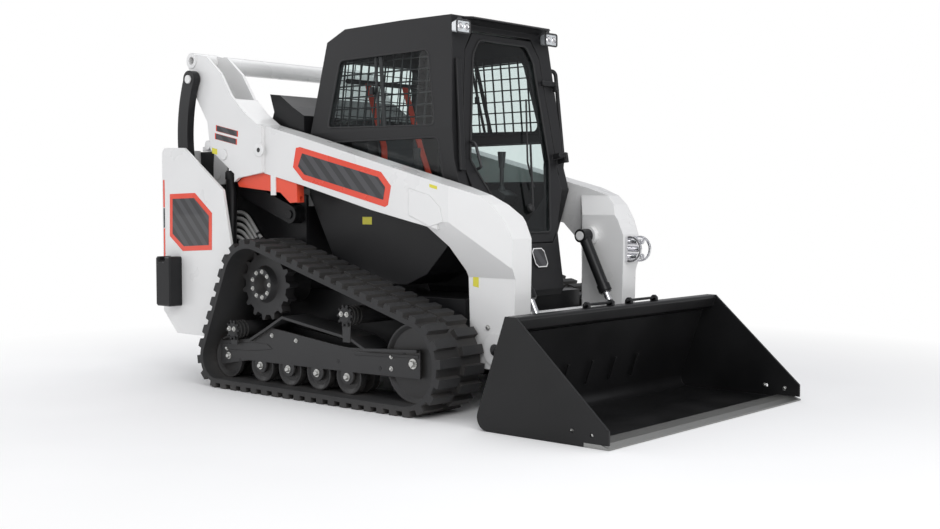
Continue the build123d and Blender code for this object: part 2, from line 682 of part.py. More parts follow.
console_outer_y = cab_half_width - cab_wall - seat_gap
console_outline = [(-300, 1010), (150, 1010), (180, 1060), (120, 1090), (-300, 1070)]
with BuildPart() as consoles:
    add(side_plates(console_outline, console_outer_y, 110, 8))
    for side in (-1, 1):
        with Locations(Plane(origin=(110, side * (console_outer_y - 60), 1070))):
            with Locations((0, 0, 20)):
                Cone(30, 14, 40)
            with Locations((0, 0, 100)):
                Cylinder(11, 140)
            with Locations((0, 0, 190)):
                Cone(16, 24, 90)
consoles.part.label = "consoles"
export_step(consoles.part, "parts/consoles.step")

# Four lamps: a pair under the visor at the roof's front corners
lamp_x, lamp_y, lamp_z = 399.9, cab_roof_half_width - 23, cab_top_z - 65
with BuildPart() as work_lights:
    for side in (-1, 1):
        with BuildSketch(Plane.YZ.offset(lamp_x)):
            with Locations((side * lamp_y, lamp_z)):
                RectangleRounded(70, 50, 10)
        with BuildSketch(Plane.YZ.offset(lamp_x + 46)):
            with Locations((side * lamp_y, lamp_z)):
                RectangleRounded(104, 68, 12)
        loft()
work_lights.part.label = "work_lights"
export_step(work_lights.part, "parts/work_lights.step")

# Lift arm: on each side a box beam that runs forward over the track, turns in at the knee
# and goes down inside the track to the bucket's pivot
beam_outline = [(-1000, 1168), (-963, 1160), (-773, 1182), (-461, 1114), (69, 984), (349, 927),
                (520, 893), (520, 1121), (-483, 1375), (-803, 1451), (-914, 1522), (-1000, 1600)]
knee_outline = [(440, 909), (548, 809), (610, 690), (623, 351), (693, 220), (786, 216), (862, 250),
                (898, 420), (905, 700), (905, 851), (870, 930), (808, 1012), (740, 1059), (613, 1098),
                (440, 1142)]
knee_front = [(arm_outer_y, 1200), (arm_outer_y, 930), (leg_outer_y, 660), (leg_outer_y, 200),
              (leg_inner_y, 200), (leg_inner_y, 955), (arm_inner_y, 1060), (arm_inner_y, 1200)]
knee_plan = [(400, arm_outer_y), (590, arm_outer_y), (920, arm_outer_y - 110), (920, leg_inner_y),
             (640, leg_inner_y), (560, arm_inner_y), (400, arm_inner_y)]
belly_outline = [(-1240, 1849), (-1114, 1750), (-1026, 1622), (-914, 1522), (-803, 1451), (-760, 1437),
                 (-760, 1185), (-963, 1157), (-1212, 1319), (-1237, 1479), (-1385, 1690),
                 (-1415, 1836), (-1376, 1876)]
inner_lug_outline = [(-1240, 1849), (-1114, 1750), (-1000, 1590), (-980, 1160), (-1195, 1125),
                     (-1300, 1120), (-1300, 1230), (-1237, 1479), (-1385, 1690), (-1415, 1836),
                     (-1376, 1876)]
control_lug_outline = [(-1212, 1300), (-1170, 1230), (-1195, 1125), (-1300, 1120), (-1300, 1230),
                       (-1290, 1330), (-1225, 1400)]
belly_edge = [(-1000, 1135), (-963, 1157), (-773, 1182), (-760, 1185), (-760, 1437), (-803, 1451),
              (-914, 1522), (-1000, 1600)]


def knee_volume():
    """The left knee and leg: where its outlines from the side, the front and above meet."""
    with BuildPart() as volume:
        extrude(side_face(knee_outline, arm_outer_y, 18), amount=arm_outer_y - leg_inner_y,
                dir=(0, -1, 0))
        with BuildSketch(Plane.YZ.offset(400)):
            with BuildLine():
                Polyline(*knee_front, close=True)
            make_face()
        extrude(amount=600, mode=Mode.INTERSECT)
        with BuildSketch(Plane.XY.offset(100)):
            with BuildLine():
                Polyline(*knee_plan, close=True)
            make_face()
        extrude(amount=1200, mode=Mode.INTERSECT)
    return volume.part


def left_arm():
    """The left side of the lift arm, with its bosses and pins."""
    with BuildPart() as arm:
        for outline, outer, inner, corner in (
                (beam_outline, arm_outer_y, arm_inner_y, 0),
                (belly_outline, belly_outer_y, belly_outer_y - belly_wall, 22),
                (inner_lug_outline, arm_inner_y + arm_inner_wall, arm_inner_y, 12),
                (belly_edge, belly_outer_y, arm_outer_y, 0),
                (control_lug_outline, control_lug_outer_y, control_lug_outer_y - control_lug_wall, 10)):
            extrude(side_face(outline, outer, corner), amount=outer - inner, dir=(0, -1, 0))
        add(knee_volume())
        for x, z, radius, outer, inner in (
                (pin_b_x, pin_b_z, 52, rear_link_inner_y - link_side_gap, arm_inner_y),
                (pin_b_x, pin_b_z, linkage_pin_radius, rear_link_inner_y + rear_link_wall + 8,
                 arm_inner_y),
                (arm_bore_x, arm_bore_z, 45, belly_outer_y + 4, arm_inner_y),
                (pin_c_x, pin_c_z, linkage_pin_radius, control_lug_outer_y + 6, arm_inner_y),
                (-1240, 1349, 25, belly_outer_y - 1, arm_inner_y + 1),
                (pin_p_x, pin_p_z, 34, lift_cylinder_y - lift_eye_half - link_side_gap, arm_inner_y),
                (pin_p_x, pin_p_z, 30, belly_outer_y + 6,
                 lift_cylinder_y + lift_eye_half + link_side_gap),
                (pin_e_x, pin_e_z, 80, leg_outer_y + 6, leg_inner_y)):
            with BuildSketch(side_plane(outer)):
                with Locations((x, z)):
                    Circle(radius)
            extrude(amount=outer - inner)
        for x, z, radius in ((arm_bore_x, arm_bore_z, arm_bore_radius),
                             (pin_e_x, pin_e_z, coupler_pin_radius + pin_gap)):
            with BuildSketch(side_plane(arm_outer_y + 100)):
                with Locations((x, z)):
                    Circle(radius)
            extrude(amount=arm_outer_y, mode=Mode.SUBTRACT)
    return arm.part


left = left_arm()
for side, arm in (("left", left), ("right", left.mirror(Plane.XZ))):
    arm.label = "lift_arm_" + side
    export_step(arm, "parts/lift_arm_" + side + ".step")

with BuildPart() as arm_cross_tubes:
    with BuildSketch(side_plane(arm_inner_y - seat_gap)):
        with Locations((cross_tube_x, cross_tube_z)):
            Circle(cross_tube_radius)
    extrude(amount=2 * (arm_inner_y - seat_gap))
    with BuildSketch(side_plane(leg_inner_y - seat_gap)):
        with Locations((torque_tube_x, torque_tube_z)):
            Circle(torque_tube_radius)
    extrude(amount=2 * (leg_inner_y - seat_gap))
arm_cross_tubes.part.label = "arm_cross_tubes"
export_step(arm_cross_tubes.part, "parts/arm_cross_tubes.step")

# Pins on the inner faces of the legs that the tilt cylinders hang on, each with its boss
with BuildPart() as tilt_pins:
    add(side_rods(tilt_top_x, tilt_top_z, 50, leg_inner_y - seat_gap,
                  tilt_cylinder_y + tilt_top_eye_half + seat_gap))
    add(side_rods(tilt_top_x, tilt_top_z, linkage_pin_radius, leg_inner_y - seat_gap,
                  tilt_cylinder_y - tilt_top_eye_half - 4))
tilt_pins.part.label = "tilt_pins"
export_step(tilt_pins.part, "parts/tilt_pins.step")

# Control links, between the front pins on the mainframe and the rear pins on the arm
link_slope = angle_of(pin_d_x, pin_d_z, pin_c_x, pin_c_z)
link_length = hypot(pin_c_x - pin_d_x, pin_c_z - pin_d_z)
with BuildPart() as control_links:
    with BuildSketch(side_plane(link_inner_y + link_wall)):
        with Locations(((pin_d_x + pin_c_x) / 2, (pin_d_z + pin_c_z) / 2)):
            SlotCenterToCenter(link_length, 100, rotation=link_slope)
        with Locations((pin_d_x, pin_d_z), (pin_c_x, pin_c_z)):
            Circle(linkage_pin_radius + pin_gap, mode=Mode.SUBTRACT)
    extrude(amount=link_wall)
    mirror(about=Plane.XZ)
control_links.part.label = "control_links"
export_step(control_links.part, "parts/control_links.step")

# Rear links, bowed to the rear, from the top of the arm down into the towers
with BuildPart() as rear_links:
    with BuildSketch(side_plane(rear_link_inner_y + rear_link_wall)):
        with BuildLine() as bow:
            ThreePointArc((pin_b_x, pin_b_z), (-1400, 1470), (pin_a_x, pin_a_z))
        trace(bow.line, 92)
        with Locations((pin_b_x, pin_b_z), (pin_a_x, pin_a_z)):
            Circle(50)
            Circle(linkage_pin_radius + pin_gap, mode=Mode.SUBTRACT)
    extrude(amount=rear_link_wall)
    mirror(about=Plane.XZ)
rear_links.part.label = "rear_links"
export_step(rear_links.part, "parts/rear_links.step")


def cylinder_tube(x, y, z, to_x, to_z, start, end, radius, bore=0, bore_start=0):
    """A round bar along the line between two points in side view, from start to end along it."""
    slope = Vector(to_x - x, 0, to_z - z).normalized()
    with BuildPart() as bar:
        with BuildSketch(Plane(origin=Vector(x, y, z) + slope * start, x_dir=(0, 1, 0), z_dir=slope)):
            Circle(radius)
        extrude(amount=end - start)
        if bore:
            with BuildSketch(Plane(origin=Vector(x, y, z) + slope * bore_start, x_dir=(0, 1, 0),
                                   z_dir=slope)):
                Circle(bore)
            extrude(amount=end - bore_start + 1, mode=Mode.SUBTRACT)
    return bar.part


def cylinder_eye(x, z, y, half_width, radius):
    """A round boss across a cylinder's end, or the hole for its pin."""
    with BuildPart() as eye:
        with BuildSketch(side_plane(y + half_width)):
            with Locations((x, z)):
                Circle(radius)
        extrude(amount=2 * half_width)
    return eye.part


lift_length = hypot(pin_p_x - lift_base_x, pin_p_z - lift_base_z)
lift_line = (lift_base_x, lift_cylinder_y, lift_base_z, pin_p_x, pin_p_z)
lift_barrel_tube = cylinder_tube(*lift_line, 0, lift_barrel_length, lift_barrel_radius,
                                 lift_rod_radius + pin_gap, 120)
lift_base_eye = cylinder_eye(lift_base_x, lift_base_z, lift_cylinder_y, lift_base_eye_half, 42)
lift_base_hole = cylinder_eye(lift_base_x, lift_base_z, lift_cylinder_y, 40, base_pin_radius + pin_gap)
lift_collar = cylinder_tube(*lift_line, lift_barrel_length - 50, lift_barrel_length - 8,
                            lift_barrel_radius + 5, lift_rod_radius + pin_gap, lift_barrel_length - 60)
with BuildPart() as lift_barrels:
    add(lift_barrel_tube)
    add(lift_collar)
    add(lift_base_eye)
    add(lift_base_hole, mode=Mode.SUBTRACT)
    mirror(about=Plane.XZ)
lift_barrels.part.label = "lift_barrels"
export_step(lift_barrels.part, "parts/lift_barrels.step")

lift_rod_bar = cylinder_tube(*lift_line, 140, lift_length, lift_rod_radius)
lift_eye = cylinder_eye(pin_p_x, pin_p_z, lift_cylinder_y, lift_eye_half, 40)
lift_eye_hole = cylinder_eye(pin_p_x, pin_p_z, lift_cylinder_y, 40, base_pin_radius + pin_gap)
with BuildPart() as lift_rods:
    add(lift_rod_bar)
    add(lift_eye)
    add(lift_eye_hole, mode=Mode.SUBTRACT)
    mirror(about=Plane.XZ)
lift_rods.part.label = "lift_rods"
export_step(lift_rods.part, "parts/lift_rods.step")

tilt_length = hypot(tilt_eye_x - tilt_top_x, tilt_eye_z - tilt_top_z)
tilt_line = (tilt_top_x, tilt_cylinder_y, tilt_top_z, tilt_eye_x, tilt_eye_z)
tilt_barrel_tube = cylinder_tube(*tilt_line, 0, tilt_barrel_length, tilt_barrel_radius,
                                 tilt_rod_radius + pin_gap, 60)
tilt_top_eye = cylinder_eye(tilt_top_x, tilt_top_z, tilt_cylinder_y, tilt_top_eye_half, tilt_top_eye_radius)
tilt_top_hole = cylinder_eye(tilt_top_x, tilt_top_z, tilt_cylinder_y, 40, linkage_pin_radius + pin_gap)
tilt_collar = cylinder_tube(*tilt_line, tilt_barrel_length - 45, tilt_barrel_length - 8,
                            tilt_barrel_radius + 5, tilt_rod_radius + pin_gap, tilt_barrel_length - 60)
with BuildPart() as tilt_barrels:
    add(tilt_barrel_tube)
    add(tilt_collar)
    add(tilt_top_eye)
    add(tilt_top_hole, mode=Mode.SUBTRACT)
    mirror(about=Plane.XZ)
tilt_barrels.part.label = "tilt_barrels"
export_step(tilt_barrels.part, "parts/tilt_barrels.step")

tilt_rod_bar = cylinder_tube(*tilt_line, tilt_rod_start, tilt_length, tilt_rod_radius)
tilt_eye = cylinder_eye(tilt_eye_x, tilt_eye_z, tilt_cylinder_y, 20, 34)
tilt_eye_hole = cylinder_eye(tilt_eye_x, tilt_eye_z, tilt_cylinder_y, 40, tilt_eye_bore + pin_gap)
with BuildPart() as tilt_rods:
    add(tilt_rod_bar)
    add(tilt_eye)
    add(tilt_eye_hole, mode=Mode.SUBTRACT)
    mirror(about=Plane.XZ)
tilt_rods.part.label = "tilt_rods"
export_step(tilt_rods.part, "parts/tilt_rods.step")

# Coupler pins, which turn in the legs of the arm and carry the coupler
with BuildPart() as coupler_pins:
    add(side_rods(pin_e_x, pin_e_z, coupler_pin_radius, leg_outer_y + 12, coupler_ear_inner_y - 6))
coupler_pins.part.label = "coupler_pins"
export_step(coupler_pins.part, "parts/coupler_pins.step")

# Coupler: ears on the pins inside the legs, a pair of ears for each tilt rod, the face plate
# that the bucket hangs on, and a lever loop each side
coupler_ear_outline = [(735, 300), (770, 262), (960, 60), (1010, 60), (1030, 200), (1056, 340),
                       (1000, 345), (930, 400), (800, 372), (745, 350)]
tilt_ear_outline = [(868, 445), (885, 468), (925, 468), (1085, 440), (1045, 240), (960, 240),
                    (880, 400)]
lever_outline = [(1076, 420), (1102, 440), (1096, 512), (1070, 512)]
lever_outer_y, lever_inner_y = 250, 140
back_slope = (bucket_top_x - bucket_heel_x) / (bucket_top_z - bucket_heel_z)


def back_plane(y):
    """The plane of the bucket's sloping back in side view: X up along it, Y out to the rear."""
    rise = Vector(back_slope, 0, 1).normalized()
    return Plane(origin=(bucket_heel_x, y, bucket_heel_z), x_dir=rise, z_dir=(0, -1, 0))


with BuildPart() as coupler:
    add(side_plates(coupler_ear_outline, coupler_ear_outer_y,
                    coupler_ear_outer_y - coupler_ear_inner_y, 10))
    for outer in (tilt_cylinder_y + 42, tilt_cylinder_y - 26):
        add(side_plates(tilt_ear_outline, outer, 16, 12))
    for outer in (lever_outer_y, lever_inner_y + 10):
        add(side_plates(lever_outline, outer, 10, 8))
    add(side_rods(1083, 498, 9, lever_outer_y, lever_inner_y))
    with BuildSketch(back_plane(coupler_half_width)):
        with Locations((face_foot + face_height / 2, seat_gap + face_wall / 2)):
            Rectangle(face_height, face_wall)
    extrude(amount=2 * coupler_half_width)
    with BuildSketch(back_plane(coupler_half_width)):
        with Locations((300, seat_gap - 200)):
            Rectangle(1200, 400)
    extrude(amount=2 * coupler_half_width, mode=Mode.SUBTRACT)
    with BuildSketch(side_plane(600)):
        with Locations((pin_e_x, pin_e_z)):
            Circle(coupler_pin_radius + pin_gap)
        with Locations((tilt_eye_x, tilt_eye_z)):
            Circle(tilt_eye_bore + pin_gap)
    extrude(amount=1200, mode=Mode.SUBTRACT)
coupler.part.label = "coupler"
export_step(coupler.part, "parts/coupler.step")


# Bucket: a sheet bent round the heel between two side plates, with a boxed lip along the top
def back_x(z):
    """Where the bucket's back stands at that height."""
    return bucket_heel_x + (z - bucket_heel_z) * back_slope


sheet_half = bucket_sheet / 2
sheet_shift = sheet_half * hypot(1, back_slope)
side_outline = [(back_x(0), 0), (edge_rear_x - 4, 0), (edge_rear_x - 4, edge_wall + seat_gap),
                (bucket_edge_x - 4, edge_wall + seat_gap), (bucket_edge_x - 4, 80),
                (bucket_lip_x, bucket_top_z), (bucket_top_x, bucket_top_z)]
with BuildPart() as bucket:
    with BuildSketch(side_plane(bucket_width / 2)) as ends:
        with BuildLine():
            Polyline(*side_outline, close=True)
        make_face()
        fillet(ends.vertices().sort_by(Axis.X)[0], bucket_heel_radius)
        with Locations((bucket_edge_x - 90, 52), (bucket_edge_x - 190, 62)):
            Circle(9, mode=Mode.SUBTRACT)
    extrude(amount=bucket_side_wall)
    mirror(about=Plane.XZ)
    with BuildSketch(side_plane(bucket_width / 2 - 1)):
        with BuildLine() as sheet:
            FilletPolyline((back_x(bucket_top_z - 2) + sheet_shift, bucket_top_z - 2),
                           (back_x(sheet_half) + sheet_shift, sheet_half), (edge_rear_x, sheet_half),
                           radius=bucket_heel_radius - sheet_half)
        trace(sheet.line, bucket_sheet)
    extrude(amount=bucket_width - 2)
    with BuildSketch(side_plane(bucket_width / 2 - 1)):
        with BuildLine() as lip:
            FilletPolyline((bucket_top_x + 6, bucket_top_z - 6), (bucket_lip_x, bucket_top_z - 6),
                           (bucket_lip_x - 20, bucket_top_z - 60),
                           (back_x(bucket_top_z - 80) + 10, bucket_top_z - 80), radius=8)
        trace(lip.line, bucket_sheet)
    extrude(amount=bucket_width - 2)
bucket.part.label = "bucket"
export_step(bucket.part, "parts/bucket.step")

# Cutting edge: a flat bar with a ground bevel
with BuildPart() as cutting_edge:
    with BuildSketch(side_plane(bucket_width / 2)):
        with BuildLine():
            Polyline((edge_rear_x + seat_gap, 0), (bucket_edge_x, 0), (bucket_edge_x, 6),
                     (bucket_edge_x - 40, edge_wall), (edge_rear_x + seat_gap, edge_wall), close=True)
        make_face()
    extrude(amount=bucket_width)
cutting_edge.part.label = "cutting_edge"
export_step(cutting_edge.part, "parts/cutting_edge.step")

# Auxiliary hydraulic couplers on the left knee's front face, behind a guard of two straps
aux_x, aux_y, aux_z = 905 + seat_gap, leg_inner_y + 70, 776
with BuildPart() as aux_couplers:
    with BuildSketch(Plane.YZ.offset(aux_x)):
        with Locations((aux_y, aux_z)):
            RectangleRounded(100, 136, 10)
    extrude(amount=14)
    with BuildSketch(Plane.YZ.offset(aux_x)):
        with Locations((aux_y - 24, aux_z + 40), (aux_y + 24, aux_z + 40), (aux_y, aux_z),
                       (aux_y - 24, aux_z - 40), (aux_y + 24, aux_z - 40)):
            Circle(15)
    extrude(amount=62)
    for strap_y in (aux_y + 50, aux_y - 38):
        with BuildSketch(side_plane(strap_y)):
            with BuildLine() as strap:
                ThreePointArc((aux_x + 6, aux_z + 60), (aux_x + 92, aux_z), (aux_x + 6, aux_z - 60))
            trace(strap.line, 10)
        extrude(amount=12)
aux_couplers.part.label = "aux_couplers"
export_step(aux_couplers.part, "parts/aux_couplers.step")

# Arm support: the red channel that is stowed under the right arm
support_outline = [(-1004, 1130), (-963, 1160 - seat_gap), (-773, 1182 - seat_gap),
                   (-505, 1123 - seat_gap), (-502, 1022), (-560, 1018), (-640, 1075), (-990, 1108)]
with BuildPart() as arm_support:
    extrude(side_face(support_outline, 6 - arm_outer_y + 50, 0), amount=50, dir=(0, -1, 0))
    with BuildSketch(side_plane(20 - arm_outer_y + 30)):
        with BuildLine():
            Polyline((-1010, 1080), (-980, 1128), (-640, 1095), (-540, 1040), (-490, 1060), (-490, 1000),
                     close=True)
        make_face()
    extrude(amount=22, mode=Mode.SUBTRACT)
arm_support.part.label = "arm_support"
export_step(arm_support.part, "parts/arm_support.step")
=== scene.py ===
import json
import math

import bmesh
import bpy
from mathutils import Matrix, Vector


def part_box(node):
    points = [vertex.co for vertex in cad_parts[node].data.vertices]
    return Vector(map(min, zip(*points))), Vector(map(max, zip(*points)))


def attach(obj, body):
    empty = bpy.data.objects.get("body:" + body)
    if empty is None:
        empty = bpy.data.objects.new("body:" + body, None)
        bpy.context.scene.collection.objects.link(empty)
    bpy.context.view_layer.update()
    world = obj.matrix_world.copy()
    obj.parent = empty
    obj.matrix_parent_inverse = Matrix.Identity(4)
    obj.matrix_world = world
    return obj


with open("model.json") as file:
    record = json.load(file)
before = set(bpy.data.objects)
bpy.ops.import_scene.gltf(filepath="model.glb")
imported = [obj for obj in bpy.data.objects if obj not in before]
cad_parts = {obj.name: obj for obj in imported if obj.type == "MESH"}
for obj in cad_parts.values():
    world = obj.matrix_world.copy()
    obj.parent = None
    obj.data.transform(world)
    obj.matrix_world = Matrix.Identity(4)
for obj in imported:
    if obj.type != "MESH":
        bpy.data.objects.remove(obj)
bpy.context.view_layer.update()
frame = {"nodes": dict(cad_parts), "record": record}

# Camera, as the photograph was taken: the front right corner of the machine, just above the bucket
IMAGE_WIDTH = 940
FOCAL_PIXELS = 1260
SENSOR_MM = 36.0
CAMERA_PLACE = (4.6357, -5.1479, 1.045)
CAMERA_AZIMUTH = math.radians(40.9)
CAMERA_PITCH = math.radians(3.02)


def make_camera():
    """The camera at the photograph's viewing angle, on the object."""
    data = bpy.data.cameras.new("camera")
    data.sensor_fit = "HORIZONTAL"
    data.sensor_width = SENSOR_MM
    data.lens = SENSOR_MM * FOCAL_PIXELS / IMAGE_WIDTH
    data.clip_end = 100
    camera = bpy.data.objects.new("camera", data)
    bpy.context.scene.collection.objects.link(camera)
    camera.location = CAMERA_PLACE
    camera.rotation_euler = (math.pi / 2 - CAMERA_PITCH, 0, CAMERA_AZIMUTH)
    bpy.context.scene.camera = camera


def make_lights():
    """A soft key from the front left, a fill from the right, and lights from the side, top and rear."""
    for name, place, power, size in (
            ("key", (5.5, -4.5, 6.0), 230, 4.0),
            ("front", (7.0, -1.5, 2.4), 105, 3.0),
            ("side", (-3.0, -7.0, 3.0), 80, 5.0),
            ("top", (-1.0, 2.0, 7.0), 150, 6.0),
            ("rear", (-7.0, -2.0, 4.0), 110, 5.0)):
        data = bpy.data.lights.new(name, "AREA")
        data.energy = power
        data.size = size
        lamp = bpy.data.objects.new(name, data)
        bpy.context.scene.collection.objects.link(lamp)
        lamp.location = place
        lamp.rotation_euler = (Vector((0, 0, 0.8)) - Vector(place)).to_track_quat("-Z", "Y").to_euler()


class Nodes:
    """A material's node tree with short calls for adding and joining nodes."""

    def __init__(self, name):
        self.material = bpy.data.materials.new(name)
        self.material.use_nodes = True
        self.tree = self.material.node_tree
        self.shader = self.tree.nodes["Principled BSDF"]
        self.output = self.tree.nodes["Material Output"]

    def add(self, kind, **values):
        """A new node, with its properties and its inputs set by name."""
        node = self.tree.nodes.new("ShaderNode" + kind)
        for key, value in values.items():
            if key in node.inputs:
                node.inputs[key].default_value = value
            else:
                setattr(node, key, value)
        return node

    def seen(self):
        """1 for what the camera, a reflection or a view through glass meets, and 0 for light."""
        rays = self.add("LightPath")
        total = rays.outputs["Is Camera Ray"]
        for kind in ("Is Glossy Ray", "Is Transmission Ray"):
            larger = self.add("Math", operation="MAXIMUM")
            self.join(total, larger.inputs[0])
            self.join(rays.outputs[kind], larger.inputs[1])
            total = larger.outputs[0]
        return total

    def join(self, start, end):
        """A link from an output socket to an input socket."""
        self.tree.links.new(start, end)

    def ramp(self, source, stops):
        """A colour ramp on a value, with its stops as place and colour."""
        node = self.tree.nodes.new("ShaderNodeValToRGB")
        points = node.color_ramp.elements
        while len(points) < len(stops):
            points.new(0.5)
        for point, (place, colour) in zip(points, stops):
            point.position = place
            point.color = (*colour, 1) if len(colour) == 3 else colour
        self.join(source, node.inputs["Fac"])
        return node.outputs["Color"]


def grey(value):
    """A grey as a colour."""
    return (value, value, value)


def scaled(colour, factor):
    """A colour made darker or paler."""
    return tuple(min(1, c * factor) for c in colour)


def coated(name, colour, rough, vary=0.06, grain=220, bump=0.04, edge_radius=0.004, coat=0.0, dust_and_shade=0.0,
           gloss=0.5):
    """Paint, plastic or rubber: soft colour variation, fine grain, rounded edges, and occluded corners
    mixed towards dust brown, partly dust and partly painted shade.
    """
    m = Nodes(name)
    place = m.add("TexCoord").outputs["Object"]
    cloud = m.add("TexNoise", Scale=3.0, Detail=6.0)
    m.join(place, cloud.inputs["Vector"])
    tint = m.ramp(cloud.outputs["Fac"],
                  ((0.3, scaled(colour, 1 - vary)), (0.7, scaled(colour, 1 + vary))))
    fine = m.add("TexNoise", Scale=float(grain), Detail=3.0)
    m.join(place, fine.inputs["Vector"])
    rounded = m.add("Bevel", samples=4, Radius=edge_radius)
    lift = m.add("Bump", Strength=bump, Distance=0.001)
    m.join(fine.outputs["Fac"], lift.inputs["Height"])
    m.join(rounded.outputs["Normal"], lift.inputs["Normal"])
    m.join(lift.outputs["Normal"], m.shader.inputs["Normal"])
    # Corners and creases that ambient occlusion finds are mixed towards a dust brown: partly dust,
    # partly painted shade.
    if dust_and_shade:
        shade = m.add("AmbientOcclusion", samples=6, Distance=0.12)
        mask = m.ramp(shade.outputs["AO"], ((0.25, grey(1.0)), (0.85, grey(0.0))))
        broken = m.add("Math", operation="MULTIPLY")
        m.join(mask, broken.inputs[0])
        m.join(cloud.outputs["Fac"], broken.inputs[1])
        amount = m.add("Math", operation="MULTIPLY")
        amount.inputs[1].default_value = dust_and_shade
        m.join(broken.outputs[0], amount.inputs[0])
        dust_and_shade_mix = m.add("MixRGB")
        # The dust brown that occluded corners are mixed towards, as dust and as painted shade.
        dust_and_shade_mix.inputs["Color2"].default_value = (0.20, 0.18, 0.16, 1)
        m.join(amount.outputs[0], dust_and_shade_mix.inputs["Fac"])
        m.join(tint, dust_and_shade_mix.inputs["Color1"])
        tint = dust_and_shade_mix.outputs["Color"]
    m.join(tint, m.shader.inputs["Base Color"])
    patches = m.ramp(cloud.outputs["Fac"],
                     ((0.35, grey(max(0.02, rough - 0.06))), (0.65, grey(rough + 0.06))))
    m.join(patches, m.shader.inputs["Roughness"])
    m.shader.inputs["Specular IOR Level"].default_value = gloss
    m.shader.inputs["Coat Weight"].default_value = coat
    m.shader.inputs["Coat Roughness"].default_value = 0.08
    return m.material


def metal(name, colour, rough, brush=0.0):
    """Bare metal, with fine brush lines along X where it was ground."""
    m = Nodes(name)
    place = m.add("TexCoord").outputs["Object"]
    stretch = m.add("Mapping")
    stretch.inputs["Scale"].default_value = (3, 90, 90) if brush else (40, 40, 40)
    m.join(place, stretch.inputs["Vector"])
    lines = m.add("TexNoise", Scale=12.0, Detail=5.0)
    m.join(stretch.outputs["Vector"], lines.inputs["Vector"])
    m.join(m.ramp(lines.outputs["Fac"], ((0.3, scaled(colour, 0.85)), (0.7, colour))),
           m.shader.inputs["Base Color"])
    m.join(m.ramp(lines.outputs["Fac"], ((0.3, grey(rough)), (0.7, grey(rough + 0.12)))),
           m.shader.inputs["Roughness"])
    rounded = m.add("Bevel", samples=4, Radius=0.002)
    lift = m.add("Bump", Strength=brush, Distance=0.001)
    m.join(lines.outputs["Fac"], lift.inputs["Height"])
    m.join(rounded.outputs["Normal"], lift.inputs["Normal"])
    m.join(lift.outputs["Normal"], m.shader.inputs["Normal"])
    m.shader.inputs["Metallic"].default_value = 1.0
    return m.material


def striped(name, dark, pale):
    """A dark printed film with slanted stripes a little paler than it."""
    m = Nodes(name)
    place = m.add("TexCoord").outputs["Object"]
    bands = m.add("TexWave", Scale=7.0, Distortion=0.0, bands_direction="DIAGONAL")
    m.join(place, bands.inputs["Vector"])
    m.join(m.ramp(bands.outputs["Fac"], ((0.48, dark), (0.52, pale))), m.shader.inputs["Base Color"])
    m.shader.inputs["Roughness"].default_value = 0.3
    m.shader.inputs["Coat Weight"].default_value = 0.5
    return m.material


def tinted_glass():
    """Thin tinted glazing: mostly see-through, with a clear reflection on top."""
    m = Nodes("glass_look")
    clear = m.add("BsdfTransparent")
    clear.inputs["Color"].default_value = (0.90, 0.935, 0.93, 1)
    shine = m.add("BsdfGlossy")
    shine.inputs["Roughness"].default_value = 0.02
    fresnel = m.add("Fresnel", IOR=1.38)
    behind = m.add("NewGeometry").outputs["Backfacing"]
    outside = m.add("Math", operation="SUBTRACT")
    outside.inputs[0].default_value = 1
    m.join(behind, outside.inputs[1])
    amount = m.add("Math", operation="MULTIPLY")
    m.join(fresnel.outputs["Fac"], amount.inputs[0])
    m.join(outside.outputs[0], amount.inputs[1])
    mix = m.add("MixShader")
    m.join(amount.outputs[0], mix.inputs["Fac"])
    m.join(clear.outputs["BSDF"], mix.inputs[1])
    m.join(shine.outputs["BSDF"], mix.inputs[2])
    m.join(mix.outputs["Shader"], m.output.inputs["Surface"])
    return m.material


